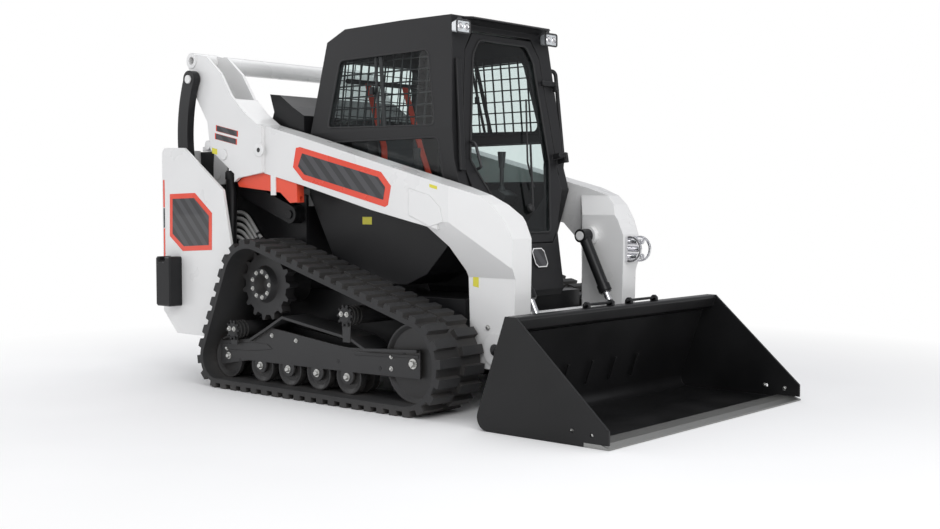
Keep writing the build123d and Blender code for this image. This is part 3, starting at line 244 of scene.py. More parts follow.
# Finishes, first by the record's material slots and then those of the scene's own pieces
looks = {
    # A dust amount mixes a finish's occluded corners towards dust brown: partly dust, partly painted
    # shade.
    "white_paint": coated("white_paint_look", (0.78, 0.78, 0.775), 0.32, vary=0.02, bump=0.03, coat=0.4,
                          edge_radius=0.005, dust_and_shade=0.25),
    "black_paint": coated("black_paint_look", (0.010, 0.010, 0.011), 0.36, vary=0.15, gloss=0.3),
    "cab_paint": coated("cab_paint_look", (0.013, 0.013, 0.014), 0.42, vary=0.08, gloss=0.3, bump=0.12,
                        grain=600, edge_radius=0.008),
    "undercarriage_paint": coated("undercarriage_look", (0.026, 0.026, 0.027), 0.45, vary=0.2, gloss=0.4,
                                  bump=0.1, dust_and_shade=0.3),
    "bucket_paint": coated("bucket_look", (0.009, 0.009, 0.0095), 0.34, vary=0.25, bump=0.06, gloss=0.3),
    "track_rubber": coated("rubber_look", (0.022, 0.022, 0.023), 0.72, vary=0.25, bump=0.25, grain=260,
                           dust_and_shade=0.35),
    "engine_iron": coated("engine_look", (0.08, 0.08, 0.08), 0.6, vary=0.2, bump=0.2),
    "glass": tinted_glass(),
    "seat_vinyl": coated("seat_look", (0.025, 0.025, 0.027), 0.55, bump=0.3, grain=500),
    "dark_plastic": coated("plastic_look", (0.030, 0.030, 0.032), 0.5, bump=0.15, grain=500),
    "lamp_lens": coated("lens_look", (0.62, 0.65, 0.67), 0.18, coat=0.8),
    "red_lens": coated("red_lens_look", (0.55, 0.02, 0.01), 0.2, coat=0.8),
    "red_paint": coated("red_paint_look", (0.80, 0.075, 0.030), 0.35, vary=0.05, coat=0.4),
    "chrome": metal("chrome_look", (0.78, 0.78, 0.80), 0.12),
    "edge_steel": metal("edge_look", (0.36, 0.36, 0.35), 0.35, brush=0.2),
    "zinc": metal("zinc_look", (0.62, 0.62, 0.60), 0.28),
    "rubber": coated("seal_look", (0.014, 0.014, 0.015), 0.6, bump=0.1),
    "decal_red": coated("decal_red_look", (0.78, 0.055, 0.020), 0.28, vary=0.03, bump=0.0, coat=0.6,
                        edge_radius=0.001),
    "decal_dark": striped("decal_dark_look", (0.014, 0.014, 0.016), (0.045, 0.045, 0.050)),
    "decal_pale": coated("decal_pale_look", (0.80, 0.80, 0.80), 0.3, vary=0.02, bump=0.0,
                         edge_radius=0.001),
    "sticker": coated("sticker_look", (0.72, 0.66, 0.05), 0.35, vary=0.03, bump=0.0, edge_radius=0.001),
    "pipe_grey": coated("pipe_look", (0.42, 0.42, 0.41), 0.5, vary=0.08, bump=0.2, grain=900),
    "belt_orange": coated("belt_look", (0.62, 0.05, 0.02), 0.6, vary=0.08, bump=0.3, grain=1200),
    "pad_vinyl": coated("pad_look", (0.030, 0.030, 0.033), 0.5, vary=0.1, bump=0.35, grain=700),
}

for part in frame["record"]["subparts"]:
    thing = frame["nodes"][part["node"]]
    thing.data.materials.clear()
    thing.data.materials.append(looks[part["material_slot"]])


# The floor turns white between these distances from the machine, and lies just under its lugs
FADE_START, FADE_END = 2.2, 4.2
FLOOR_HALF, FLOOR_Z = 60, -0.0015


def make_floor():
    """A plain pale floor that keeps the machine's shadow and fades to the white surround."""
    m = Nodes("floor_look")
    m.shader.inputs["Roughness"].default_value = 0.9
    place = m.add("TexCoord").outputs["Object"]
    cloud = m.add("TexNoise", Scale=0.7, Detail=2.0)
    m.join(place, cloud.inputs["Vector"])
    m.join(m.ramp(cloud.outputs["Fac"], ((0.4, grey(0.90)), (0.6, grey(0.92)))),
           m.shader.inputs["Base Color"])
    glow = m.add("Emission", Color=(1, 1, 1, 1), Strength=1.0)
    reach = m.add("VectorMath", operation="LENGTH")
    m.join(place, reach.inputs[0])
    span = m.add("MapRange")
    span.inputs["From Min"].default_value = FADE_START
    span.inputs["From Max"].default_value = FADE_END
    m.join(reach.outputs["Value"], span.inputs["Value"])
    white = m.add("Math", operation="MULTIPLY")
    m.join(span.outputs["Result"], white.inputs[0])
    m.join(m.seen(), white.inputs[1])
    mix = m.add("MixShader")
    m.join(white.outputs[0], mix.inputs["Fac"])
    m.join(m.shader.outputs["BSDF"], mix.inputs[1])
    m.join(glow.outputs["Emission"], mix.inputs[2])
    m.join(mix.outputs["Shader"], m.output.inputs["Surface"])
    mesh = bpy.data.meshes.new("floor")
    corners = [(x * FLOOR_HALF, y * FLOOR_HALF, FLOOR_Z)
               for x, y in ((-1, -1), (1, -1), (1, 1), (-1, 1))]
    mesh.from_pydata(corners, [], [(0, 1, 2, 3)])
    floor = bpy.data.objects.new("floor", mesh)
    bpy.context.scene.collection.objects.link(floor)
    mesh.materials.append(m.material)


def make_world():
    """Plain light all round; what the camera and reflections see of it is near white."""
    world = bpy.data.worlds.new("studio")
    bpy.context.scene.world = world
    world.use_nodes = True
    tree = world.node_tree
    back = tree.nodes["Background"]
    back.inputs["Color"].default_value = (0.95, 0.96, 1.0, 1)
    back.inputs["Strength"].default_value = 0.50
    seen = tree.nodes.new("ShaderNodeBackground")
    seen.inputs["Color"].default_value = (1, 1, 1, 1)
    seen.inputs["Strength"].default_value = 1.0
    path = tree.nodes.new("ShaderNodeLightPath")
    rays = tree.nodes.new("ShaderNodeMath")
    rays.operation = "MAXIMUM"
    tree.links.new(path.outputs["Is Camera Ray"], rays.inputs[0])
    tree.links.new(path.outputs["Is Transmission Ray"], rays.inputs[1])
    mix = tree.nodes.new("ShaderNodeMixShader")
    tree.links.new(rays.outputs[0], mix.inputs["Fac"])
    tree.links.new(back.outputs["Background"], mix.inputs[1])
    tree.links.new(seen.outputs["Background"], mix.inputs[2])
    tree.links.new(mix.outputs["Shader"], tree.nodes["World Output"].inputs["Surface"])


class Piece:
    """One added piece: closed shapes, given in millimetres, that ride on one body."""

    def __init__(self, name, look, body, edge=0.0):
        self.name, self.look, self.body, self.edge = name, look, body, edge
        self.points, self.faces = [], []

    def solid(self, rings, closed=False):
        """A shape through rings of points, capped at its ends or running back to its first ring."""
        start, size, count = len(self.points), len(rings[0]), len(rings)
        self.points += [Vector(point) * 0.001 for ring in rings for point in ring]
        for i in range(count if closed else count - 1):
            a, b = start + i * size, start + (i + 1) % count * size
            self.faces += [(a + k, a + (k + 1) % size, b + (k + 1) % size, b + k) for k in range(size)]
        if not closed:
            self.faces.append(tuple(start + size - 1 - k for k in range(size)))
            self.faces.append(tuple(start + (count - 1) * size + k for k in range(size)))

    def turned(self, start, axis, profile, sides=24):
        """A turned shape from pairs of distance along the axis and radius."""
        axis = Vector(axis).normalized()
        across = axis.orthogonal().normalized()
        beside = axis.cross(across)
        turns = [2 * math.pi * k / sides for k in range(sides)]
        start = Vector(start)
        self.solid([[start + axis * along + (across * math.cos(t) + beside * math.sin(t)) * radius
                     for t in turns] for along, radius in profile])

    def rod(self, start, end, radius, sides=16):
        """A round bar between two points."""
        run = Vector(end) - Vector(start)
        self.turned(start, run, ((0, radius), (run.length, radius)), sides)

    def tube(self, path, radius, sides=10, closed=False):
        """A round bar or hose along a line of points."""
        path = [Vector(point) for point in path]
        last = len(path) - 1
        rings, across = [], None
        for i, point in enumerate(path):
            before = path[i - 1] if i or closed else path[i]
            after = path[(i + 1) % len(path)] if i < last or closed else path[i]
            along = (after - before).normalized()
            across = along.orthogonal() if across is None else across - along * across.dot(along)
            across.normalize()
            beside = along.cross(across)
            rings.append([point + (across * math.cos(t) + beside * math.sin(t)) * radius
                          for t in (2 * math.pi * k / sides for k in range(sides))])
        self.solid(rings, closed)

    def slab(self, outline, depth):
        """A flat plate from its outline in space and the vector of its thickness."""
        self.solid([outline, [Vector(point) + Vector(depth) for point in outline]])

    def box(self, low, high):
        """A block between two corners."""
        (x0, y0, z0), (x1, y1, z1) = low, high
        self.slab([(x0, y0, z0), (x1, y0, z0), (x1, y1, z0), (x0, y1, z0)], (0, 0, z1 - z0))

    def bolt(self, place, axis, radius):
        """A hexagon bolt's head on its washer."""
        axis = Vector(axis).normalized()
        self.turned(place, axis, ((0, radius * 1.5), (radius * 0.25, radius * 1.5)), 20)
        self.turned(Vector(place) + axis * radius * 0.25, axis,
                    ((0, radius), (radius * 0.75, radius), (radius * 0.95, radius * 0.8)), 6)

    def make(self):
        """The finished object, on its body."""
        mesh = bpy.data.meshes.new(self.name)
        mesh.from_pydata([tuple(point) for point in self.points], [], self.faces)
        shape = bmesh.new()
        shape.from_mesh(mesh)
        bmesh.ops.recalc_face_normals(shape, faces=shape.faces)
        for face in shape.faces:
            face.smooth = True
        shape.to_mesh(mesh)
        shape.free()
        mesh.set_sharp_from_angle(angle=math.radians(35))
        piece = bpy.data.objects.new(self.name, mesh)
        bpy.context.scene.collection.objects.link(piece)
        mesh.materials.append(looks[self.look])
        if self.edge:
            soft = piece.modifiers.new("edge", "BEVEL")
            soft.width = self.edge * 0.001
            soft.segments = 2
            soft.limit_method = "ANGLE"
        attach(piece, self.body)
        return piece


def on_side(side, y, outline):
    """A side view outline of X and Z on the plane at that Y, on the left (1) or the right (-1)."""
    return [(x, side * y, z) for x, z in outline]


def spaced(path, step):
    """Points along a line of points, no further apart than the step."""
    points = []
    for start, end in zip(path, path[1:]):
        run = Vector(end) - Vector(start)
        count = max(1, round(run.length / step))
        points += [Vector(start) + run * i / count for i in range(count)]
    return points + [Vector(path[-1])]


def rounded(path, radius, steps=5):
    """A line of points with its corners bent to about that radius."""
    path = [Vector(point) for point in path]
    points = [path[0]]
    for before, corner, after in zip(path, path[1:], path[2:]):
        start = corner + (before - corner).normalized() * min(radius, (before - corner).length / 2)
        end = corner + (after - corner).normalized() * min(radius, (after - corner).length / 2)
        for i in range(steps + 1):
            t = i / steps
            points.append(start * (1 - t) ** 2 + corner * 2 * t * (1 - t) + end * t ** 2)
    return points + [path[-1]]



def reach(node):
    """How far a node of the frame reaches to the left, in millimetres."""
    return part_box(node)[1][1] * 1000


# Faces that the pieces sit on, as distances from the machine's middle in millimetres
BEAM_Y, BELLY_Y, LEG_Y = 640, 661, 512
WALL_Y, CAB_Y = 478, 450
TOWER_Y = reach("towers")
TRACK_FRAME_Y = reach("track_frames") - 22
AXLE_Y = reach("torsion_axles")
SPROCKET_Y = reach("sprockets")
BUCKET_Y = reach("bucket")
FILM = 0.8

# Printed panels and labels in side view
ARM_PANEL = [(-502, 1313), (-470, 1317), (139, 1176), (209, 1105), (187, 1010), (166, 1000),
             (-448, 1141), (-527, 1211)]
ARM_PANEL_INSIDE = [(-452, 1283), (118, 1151), (168, 1100), (154, 1036), (-436, 1170), (-486, 1215)]
TOWER_PANEL = [(-1487, 1068), (-1250, 1074), (-1096, 961), (-1100, 753), (-1369, 740), (-1492, 824)]
TOWER_PANEL_INSIDE = [(-1460, 1040), (-1258, 1045), (-1124, 945), (-1127, 780), (-1358, 768),
                      (-1464, 838)]
PILLS = ([(-1159, 1459), (-963, 1418), (-963, 1385), (-1159, 1425)],
         [(-1169, 1414), (-972, 1374), (-973, 1341), (-1169, 1380)])
ARM_LABELS = ((BELLY_Y, [(-1197, 1300), (-1150, 1290), (-1150, 1322), (-1197, 1332)]),
              (LEG_Y, [(640, 617), (676, 610), (676, 690), (640, 697)]),
              (BEAM_Y, [(470, 1098), (520, 1086), (520, 1102), (470, 1114)]))
SKIRT_LABEL = [(-190, 905), (-120, 905), (-120, 945), (-190, 945)]
STRIP_REAR_X, STRIP_FRONT_X = -1552, -1538


def grown(outline, amount):
    """A convex outline moved outwards from its middle by the amount."""
    count = len(outline)
    middle = Vector((sum(x for x, _ in outline) / count, sum(z for _, z in outline) / count))
    moved = []
    for x, z in outline:
        away = Vector((x, z)) - middle
        moved.append(tuple(middle + away * (1 + amount / away.length)))
    return moved


def strip(low, high):
    """The part of the tower's upright rear strip between two heights."""
    return [(STRIP_REAR_X, low), (STRIP_FRONT_X, low), (STRIP_FRONT_X, high), (STRIP_REAR_X, high)]


def make_panels():
    """Blank printed panels on the arms and towers, and small blank labels."""
    for side, name in ((1, "left"), (-1, "right")):
        film = (0, side * FILM, 0)
        thick_film = (0, side * 1.2, 0)
        red = Piece("arm_panel_border_" + name, "decal_red", "lift_arm")
        dark = Piece("arm_panel_" + name, "decal_dark", "lift_arm")
        pale = Piece("arm_label_" + name, "sticker", "lift_arm")
        red.slab(on_side(side, BEAM_Y, ARM_PANEL), thick_film)
        dark.slab(on_side(side, BEAM_Y + 1.2, ARM_PANEL_INSIDE), film)
        for pill in PILLS:
            red.slab(on_side(side, BELLY_Y, pill), film)
            dark.slab(on_side(side, BELLY_Y + FILM, grown(pill, -9)), (0, side * 0.6, 0))
        for y, label in ARM_LABELS:
            pale.slab(on_side(side, y, label), film)
        for piece in (red, dark, pale):
            piece.make()
        red = Piece("tower_panel_border_" + name, "decal_red", "chassis")
        dark = Piece("tower_panel_" + name, "decal_dark", "chassis")
        label = Piece("skirt_label_" + name, "sticker", "chassis")
        red.slab(on_side(side, TOWER_Y, TOWER_PANEL), thick_film)
        dark.slab(on_side(side, TOWER_Y + 1.2, TOWER_PANEL_INSIDE), film)
        red.slab(on_side(side, TOWER_Y, strip(700, 868)), film)
        red.slab(on_side(side, TOWER_Y, strip(990, 1150)), film)
        dark.slab(on_side(side, TOWER_Y, strip(872, 986)), film)
        label.slab(on_side(side, CAB_Y, SKIRT_LABEL), film)
        for piece in (red, dark, label):
            piece.make()


# Places on the arms in side view
KNEE_FIELD = [(330, 1095), (470, 1060), (540, 1000), (560, 930), (470, 905), (400, 935), (330, 960)]
ARM_HOLE_X, ARM_HOLE_Z = -783, 1308
ARM_BOLTS = ((-1258, 556, 1176), (735, LEG_Y, 420), (700, LEG_Y + 12, 845))


def make_arm_details():
    """Bolts, a raised field at each knee, a rim with a thin dark disc as painted shade for its hole, and
    the strap on the red support.
    """
    for side, name in ((1, "left"), (-1, "right")):
        out = (0, side, 0)
        field = Piece("knee_field_" + name, "white_paint", "lift_arm", edge=1.5)
        field.slab(on_side(side, BEAM_Y, KNEE_FIELD), (0, side * 3, 0))
        field.turned((ARM_HOLE_X, side * BELLY_Y, ARM_HOLE_Z), out, ((0, 40), (3, 38), (5, 30), (5, 24)))
        field.make()
        # A thin dark rubber disc on the closed rim stands in for the hole: painted shade.
        dark = Piece("arm_hole_shade_disc_" + name, "rubber", "lift_arm")
        dark.turned((ARM_HOLE_X, side * (BELLY_Y + 5), ARM_HOLE_Z), out, ((0, 13), (0.6, 13)))
        dark.make()
        bolts = Piece("arm_bolts_" + name, "zinc", "lift_arm")
        for x, y, z in ARM_BOLTS:
            bolts.bolt((x, side * y, z), out, 9)
        bolts.make()
    strap = Piece("support_strap", "decal_pale", "lift_arm", edge=1.0)
    strap.box((-712, -641, 1060), (-672, -634, 1166))
    strap.box((-712, -641, 1166), (-672, -584, 1173))
    strap.make()


# Places on the undercarriage in side view, and the radii of its bolts
ROLLER_X, ROLLER_Z, ROLLER_PITCH, ROLLER_COUNT = 16, 140, 225, 4
SPROCKET_X, SPROCKET_Z, SPROCKET_BOLT_CIRCLE, SPROCKET_BOLTS = -672, 578, 70, 9
AXLES = ((-853, 322), (39, 455))
FRAME_BOLTS = ((-930, 173, 13), (-563, 310, 8), (-370, 296, 8), (-945, 214, 9), (478, 247, 17),
               (330, 270, 8), (330, 210, 8))
PLUGS = ((-834, 153), (-50, 215), (252, 206), (-870, 240), (420, 290))
FRAME_RIDGE = [(-980, 236), (-730, 262), (-600, 262), (-560, 236), (-730, 214), (-985, 206)]
FRAME_STRIP = [(60, 276), (515, 292), (515, 276), (80, 258)]
CAP_RIBS, CAP_RIB_START, CAP_RIB_END, CAP_RIB_HALF = 10, 36, 56, 6


def make_frame_bolts(side, name):
    """Bolts on one side's rollers, track frame, suspension axles and sprocket."""
    out = (0, side, 0)
    bolts = Piece("track_frame_bolts_" + name, "zinc", "chassis")
    for i in range(ROLLER_COUNT):
        bolts.bolt((ROLLER_X - ROLLER_PITCH * i, side * TRACK_FRAME_Y, ROLLER_Z), out, 14)
    for x, z, radius in FRAME_BOLTS:
        bolts.bolt((x, side * TRACK_FRAME_Y, z), out, radius)
    for x, z in AXLES:
        for slide in (-20, 20):
            bolts.bolt((x + slide, side * (AXLE_Y + 16), z + 8), out, 9)
    for i in range(SPROCKET_BOLTS):
        angle = 2 * math.pi * i / SPROCKET_BOLTS
        bolts.bolt((SPROCKET_X + SPROCKET_BOLT_CIRCLE * math.cos(angle), side * SPROCKET_Y,
                    SPROCKET_Z + SPROCKET_BOLT_CIRCLE * math.sin(angle)), out, 8)
    bolts.make()


def make_axle_caps(side, name):
    """The star-ribbed rubber caps on one side's suspension axles."""
    caps = Piece("axle_caps_" + name, "rubber", "chassis", edge=1.0)
    for x, z in AXLES:
        middle = Vector((x, side * AXLE_Y, z))
        caps.turned(middle, (0, side, 0), ((0, 42), (10, 42), (16, 34)), 32)
        for i in range(CAP_RIBS):
            angle = 2 * math.pi * i / CAP_RIBS
            ray = Vector((math.cos(angle), 0, math.sin(angle)))
            wide = Vector((-ray.z, 0, ray.x)) * CAP_RIB_HALF
            start, end = middle + ray * CAP_RIB_START, middle + ray * CAP_RIB_END
            caps.slab([start - wide, end - wide, end + wide, start + wide], (0, side * 12, 0))
    caps.make()


def make_undercarriage_details():
    """Bolts, plugs, ribbed caps and pressed ridges on both sides' track frames."""
    for side, name in ((1, "left"), (-1, "right")):
        make_frame_bolts(side, name)
        plugs = Piece("track_frame_plugs_" + name, "rubber", "chassis")
        for x, z in PLUGS:
            plugs.turned((x, side * TRACK_FRAME_Y, z), (0, side, 0), ((0, 11), (1, 10)))
        plugs.make()
        make_axle_caps(side, name)
        ridge = Piece("track_frame_ridge_" + name, "undercarriage_paint", "chassis", edge=2.0)
        for outline in (FRAME_RIDGE, FRAME_STRIP):
            ridge.slab(on_side(side, TRACK_FRAME_Y, outline), (0, side * 4, 0))
        ridge.make()


# Hydraulic pipes: how many, how thick, and where their clamps sit along each one's points
PIPE_COUNT, PIPE_RADIUS, CLAMP_RADIUS, CLAMP_LENGTH = 5, 11, 13, 16
CLAMP_MARKS = (7, 9)


def make_pipes():
    """Five rigid hydraulic pipes in black clamps between each tower and the frame."""
    for side, name in ((1, "left"), (-1, "right")):
        pipes = Piece("hydraulic_pipes_" + name, "pipe_grey", "chassis")
        clamps = Piece("pipe_clamps_" + name, "rubber", "chassis")
        for i in range(PIPE_COUNT):
            y = side * (WALL_Y + 16 + 7 * i)
            path = rounded([(-1240, y, 960 - 34 * i), (-1110, y, 966 - 36 * i), (-960, y, 800 - 30 * i),
                            (-850, y, 770 - 28 * i)], 60)
            pipes.tube(path, PIPE_RADIUS, 12)
            for mark in CLAMP_MARKS:
                start, end = path[mark], path[mark + 1]
                clamps.rod(start, start + (end - start).normalized() * CLAMP_LENGTH, CLAMP_RADIUS, 14)
        pipes.make()
        clamps.make()


# The cab's side leans in above its waist, and its front is one slope above the knee and one below
WAIST_Z, LEAN = 1400, 65 / 568
FRONT_X, FRONT_KNEE_Z = 461, 1237
FRONT_SLOPE_ABOVE, FRONT_SLOPE_BELOW = 63 / 658, 149 / 385
UPPER_WINDOW = [(-410, 1790), (243, 1803), (329, 1412), (-465, 1425)]
LOWER_WINDOW = [(-440, 1345), (349, 1352), (395, 1130), (-420, 1130)]
DOOR_GLASS = [(192, 1856), (248, 1778), (328, 1237), (150, 865)]
SEAL_RADIUS = 6


def cab_side(z):
    """Half the cab's width at that height."""
    return CAB_Y - max(0, z - WAIST_Z) * LEAN


def cab_front(z):
    """Where the cab's front stands at that height."""
    above = z > FRONT_KNEE_Z
    return FRONT_X - (z - FRONT_KNEE_Z) * (FRONT_SLOPE_ABOVE if above else FRONT_SLOPE_BELOW)


def ring_of(corners, bend):
    """A closed loop of points through corners, each corner bent to about that radius."""
    return rounded(corners + corners[:2], bend)[1:-1]


def make_windows():
    """Seals round the side windows, and the uprights and the latch of their sliding panes."""
    seals = Piece("window_seals", "rubber", "chassis")
    bars = Piece("sliding_frames", "cab_paint", "chassis", edge=1.0)
    top_z, foot_z = 1797, 1418
    for side in (1, -1):
        for window in (UPPER_WINDOW, LOWER_WINDOW):
            corners = [(x, side * (cab_side(z) - 3), z) for x, z in window]
            seals.tube(ring_of(corners, 34), SEAL_RADIUS, 8, closed=True)
        for top, foot, wide in ((-111, -40, 12), (-150, -84, 8)):
            y_top, y_foot = cab_side(top_z) - 12, cab_side(foot_z) - 12
            bars.slab([(top - wide, side * y_top, top_z), (top + wide, side * y_top, top_z),
                       (foot + wide, side * y_foot, foot_z), (foot - wide, side * y_foot, foot_z)],
                      (0, -side * 8, 0))
        latch_low, latch_high = sorted((side * 418, side * 436))
        bars.box((-150, latch_low, 1590), (-128, latch_high, 1630))
    seals.make()
    bars.make()


def make_door_details():
    """The seal round the door's glass, the wiper and the inside handle, which move with the door."""
    seal = Piece("door_seal", "rubber", "cab_door")
    half = [(cab_front(z) + 1, y, z) for y, z in DOOR_GLASS]
    loop = half + [(x, -y, z) for x, y, z in reversed(half)]
    seal.tube(ring_of(loop, 26), SEAL_RADIUS, 8, closed=True)
    seal.make()
    wiper = Piece("wiper", "rubber", "cab_door")
    pivot = Vector((cab_front(990) + 4, 40, 990))
    wiper.turned(pivot - Vector((4, 0, 0)), (0.93, 0, 0.36), ((0, 24), (14, 22), (22, 12)))
    elbow = Vector((cab_front(1330) + 20, 150, 1330))
    wiper.tube(spaced([pivot + Vector((16, 0, 6)), elbow], 60), 6, 8)
    blade = [(cab_front(z) + 10, 118 + (z - 1130) * 0.08, z) for z in (1100, FRONT_KNEE_Z, 1570)]
    wiper.tube(spaced(blade, 60), 5, 8)
    wiper.make()
    handle = Piece("door_handle", "dark_plastic", "cab_door", edge=2.0)
    grip = [(cab_front(1190) + 2, -300, 1190), (cab_front(1190) + 34, -300, 1200),
            (cab_front(1310) + 34, -318, 1320), (cab_front(1310) + 2, -318, 1330)]
    handle.tube(rounded(grip, 14), 8, 10)
    handle.make()


# Lamps at the roof's front corners: the middle of each lens and half of its size
LAMP_X, LAMP_Y, LAMP_Z, LAMP_HALF_WIDE, LAMP_HALF_TALL = 447, 362, 1903, 50, 32


def make_lamps():
    """Bezels with their brackets, and two reflectors in each lamp."""
    bezels = Piece("lamp_bezels", "dark_plastic", "chassis", edge=1.0)
    chrome = Piece("lamp_inners", "chrome", "chassis")
    for side in (1, -1):
        y = side * LAMP_Y
        rim = [(LAMP_X, y + across * LAMP_HALF_WIDE, LAMP_Z + up * LAMP_HALF_TALL)
               for across, up in ((-1, -1), (1, -1), (1, 1), (-1, 1))]
        bezels.tube(ring_of(rim, 12), 5, 8, closed=True)
        bezels.rod((420, y, LAMP_Z + 34), (420, y, LAMP_Z + 50), 12)
        for slide in (-24, 24):
            chrome.turned((LAMP_X - 3, y + slide, LAMP_Z), (1, 0, 0),
                          ((0, 19), (4, 19), (7, 14), (4, 9)))
    bezels.make()
    chrome.make()


def make_front_plates():
    """The cover on the right front pillar, and a blank plate with a pale rim on the nose."""
    cover = Piece("pillar_cover", "cab_paint", "chassis", edge=4.0)
    top_z, foot_z = 1745, 1180
    top_x, foot_x = cab_front(top_z) - 1, cab_front(foot_z) - 1
    cover.slab([(top_x, -392, top_z), (top_x, -356, top_z), (foot_x, -400, foot_z),
                (foot_x, -436, foot_z)], (16, 0, 3))
    cover.make()
    badge = Piece("nose_plate", "decal_dark", "chassis")
    rim = Piece("nose_plate_rim", "decal_pale", "chassis")
    rise = Vector((-FRONT_SLOPE_BELOW, 0, 1)).normalized()
    away = Vector((rise.z, 0, -rise.x))
    plate_z, half, cut = 738, 52, 34
    middle = Vector((cab_front(plate_z) + 0.6, 0, plate_z))
    corners = [(-half, -cut), (-cut, -half), (cut, -half), (half, -cut),
               (half, cut), (cut, half), (-cut, half), (-half, cut)]
    rim.slab([middle + Vector((0, y, 0)) + rise * up for y, up in corners], away)
    badge.slab([middle + away + Vector((0, y * 0.9, 0)) + rise * up * 0.9 for y, up in corners],
               away * FILM)
    rim.make()
    badge.make()


# Wire screen inside the rear window, which leans forward with the cab's back
SCREEN_X, SCREEN_FOOT_Z, SCREEN_TOP_Z, SCREEN_SLOPE, SCREEN_WIRE = -541, 1450, 1800, 0.154, 3
SCREEN_COLUMNS, SCREEN_COLUMN_PITCH, SCREEN_ROWS, SCREEN_ROW_PITCH = 13, 52, 8, 48


def make_rear_screen():
    """Crossing wires behind the glass of the rear window."""
    screen = Piece("rear_screen", "black_paint", "chassis")
    outer_wire_y = SCREEN_COLUMN_PITCH * (SCREEN_COLUMNS - 1) / 2
    for i in range(SCREEN_COLUMNS):
        y = SCREEN_COLUMN_PITCH * i - outer_wire_y
        screen.rod((SCREEN_X, y, SCREEN_FOOT_Z),
                   (SCREEN_X + (SCREEN_TOP_Z - SCREEN_FOOT_Z) * SCREEN_SLOPE, y, SCREEN_TOP_Z),
                   SCREEN_WIRE, 6)
    for i in range(SCREEN_ROWS):
        z = SCREEN_FOOT_Z + 5 + SCREEN_ROW_PITCH * i
        x = SCREEN_X + (z - SCREEN_FOOT_Z) * SCREEN_SLOPE
        screen.rod((x, -outer_wire_y - 8, z), (x, outer_wire_y + 8, z), SCREEN_WIRE, 6)
    screen.make()


def make_inside_details():
    """The seat belt with the bar it hangs from, and a display at the right front."""
    belt = Piece("seat_belt", "belt_orange", "chassis")
    for side in (1, -1):
        belt.slab([(-455, side * 170, 1680), (-455, side * 128, 1680), (-330, side * 128, 1330),
                   (-330, side * 170, 1330)], (6, 0, 3))
        belt.slab([(-330, side * 170, 1330), (-330, side * 128, 1330), (-250, side * 190, 1010),
                   (-250, side * 232, 1010)], (6, 0, 3))
    belt.make()
    guide = Piece("belt_guides", "black_paint", "chassis", edge=2.0)
    guide.rod((-462, -300, 1690), (-462, 300, 1690), 14)
    guide.make()
    display = Piece("display", "dark_plastic", "chassis", edge=3.0)
    display.box((300, -372, 1300), (318, -262, 1372))
    display.rod((305, -330, 1250), (305, -330, 1302), 8)
    display.box((286, -345, 1238), (324, -315, 1252))
    display.make()


# A pad's shape: points round it, how full it is, and its sewn channels, counted in points along it
PAD_STEP, PAD_SIDES, PAD_FILL = 7, 36, 0.8
CHANNEL_PITCH, CHANNEL_DEPTH, CHANNEL_HALF = 12, 0.22, 1.3


def signed_power(value, power):
    """The value's size to a power, with its sign kept."""
    return math.copysign(abs(value) ** power, value)


def make_pad(name, path, width, thick, up):
    """A stuffed pad along a line: crowned, drawn in at its ends and at its sewn channels."""
    pad = Piece(name, "pad_vinyl", "chassis")
    line = spaced(path, PAD_STEP)
    rings = []
    for i, middle in enumerate(line):
        along = 2 * i / (len(line) - 1) - 1
        full = math.sqrt(max(0.03, 1 - along ** 6))
        off_seam = (i % CHANNEL_PITCH - CHANNEL_PITCH / 2) / CHANNEL_HALF
        channel = 1 - CHANNEL_DEPTH * math.exp(-off_seam ** 2)
        ring = []
        for k in range(PAD_SIDES):
            turn = 2 * math.pi * k / PAD_SIDES
            across = signed_power(math.cos(turn), 0.35)
            lift = signed_power(math.sin(turn), 0.7) * full * channel * (1.1 - 0.25 * across * across)
            ring.append(middle + Vector((0, across * width / 2 * (0.93 + 0.07 * full), 0))
                        + Vector(up) * thick * (0.5 + 0.5 * lift))
        rings.append(ring)
    pad.solid(rings)
    pad.make()


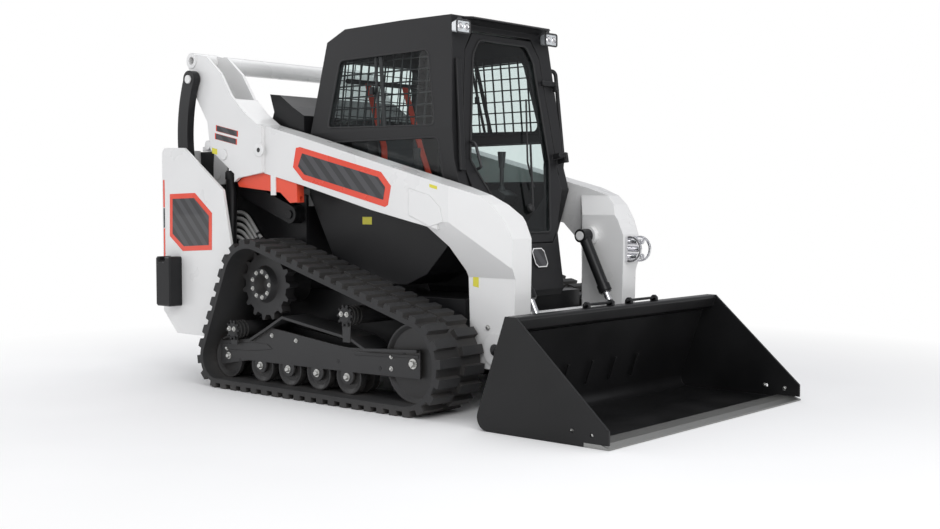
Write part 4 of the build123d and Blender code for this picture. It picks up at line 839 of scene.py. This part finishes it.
def make_seat_pads():
    """The soft pads on the seat and its back."""
    make_pad("seat_pad", [(-262, 0, 986), (-100, 0, 996), (56, 0, 1002)], 310, 34, (0, 0, 1))
    make_pad("back_pad", [(-293, 0, 1020), (-345, 0, 1200), (-390, 0, 1385)], 330, 40, (0.97, 0, 0.24))


# Places on the bucket and its coupler
LEVER_SPANS = ((-300, -48), (60, 340))
LEVER_X, LEVER_Z = 1147, 538
SIDE_BOLTS = ((1489, 63), (1603, 56))
WEAR_STRIPS_Y, WEAR_STRIP_WIDTH = (-300, -100, 100, 300), 14


def make_bucket_details():
    """Levers on the coupler's lip, bolts in the bucket's sides, and wear strips inside it."""
    levers = Piece("coupler_levers", "black_paint", "bucket", edge=1.5)
    for low, high in LEVER_SPANS:
        for y in (low + 26, high - 26):
            levers.box((LEVER_X - 19, y - 9, 505), (LEVER_X + 19, y + 9, LEVER_Z + 2))
            levers.rod((LEVER_X, y - 9, LEVER_Z), (LEVER_X, y + 9, LEVER_Z), 15)
        levers.rod((LEVER_X, low, LEVER_Z), (LEVER_X, high, LEVER_Z), 7)
    levers.make()
    bolts = Piece("bucket_bolts", "zinc", "bucket")
    for side in (1, -1):
        for x, z in SIDE_BOLTS:
            bolts.bolt((x, side * (BUCKET_Y - 7), z), (0, side, 0), 5.8)
            bolts.bolt((x, side * (BUCKET_Y - 11), z), (0, -side, 0), 7)
    bolts.make()
    strips = Piece("bucket_wear_strips", "bucket_paint", "bucket", edge=1.0)
    for y in WEAR_STRIPS_Y:
        edge_y = y - WEAR_STRIP_WIDTH / 2
        strips.slab([(1016, edge_y, 130), (1060, edge_y, 250), (1068, edge_y, 246), (1026, edge_y, 128)],
                    (0, WEAR_STRIP_WIDTH, 0))
    strips.make()


make_panels()
make_arm_details()
make_undercarriage_details()
make_pipes()
make_windows()
make_door_details()
make_lamps()
make_front_plates()
make_rear_screen()
make_inside_details()
make_seat_pads()
make_bucket_details()

make_camera()
make_lights()
make_world()
make_floor()
bpy.context.scene.view_settings.view_transform = "Standard"
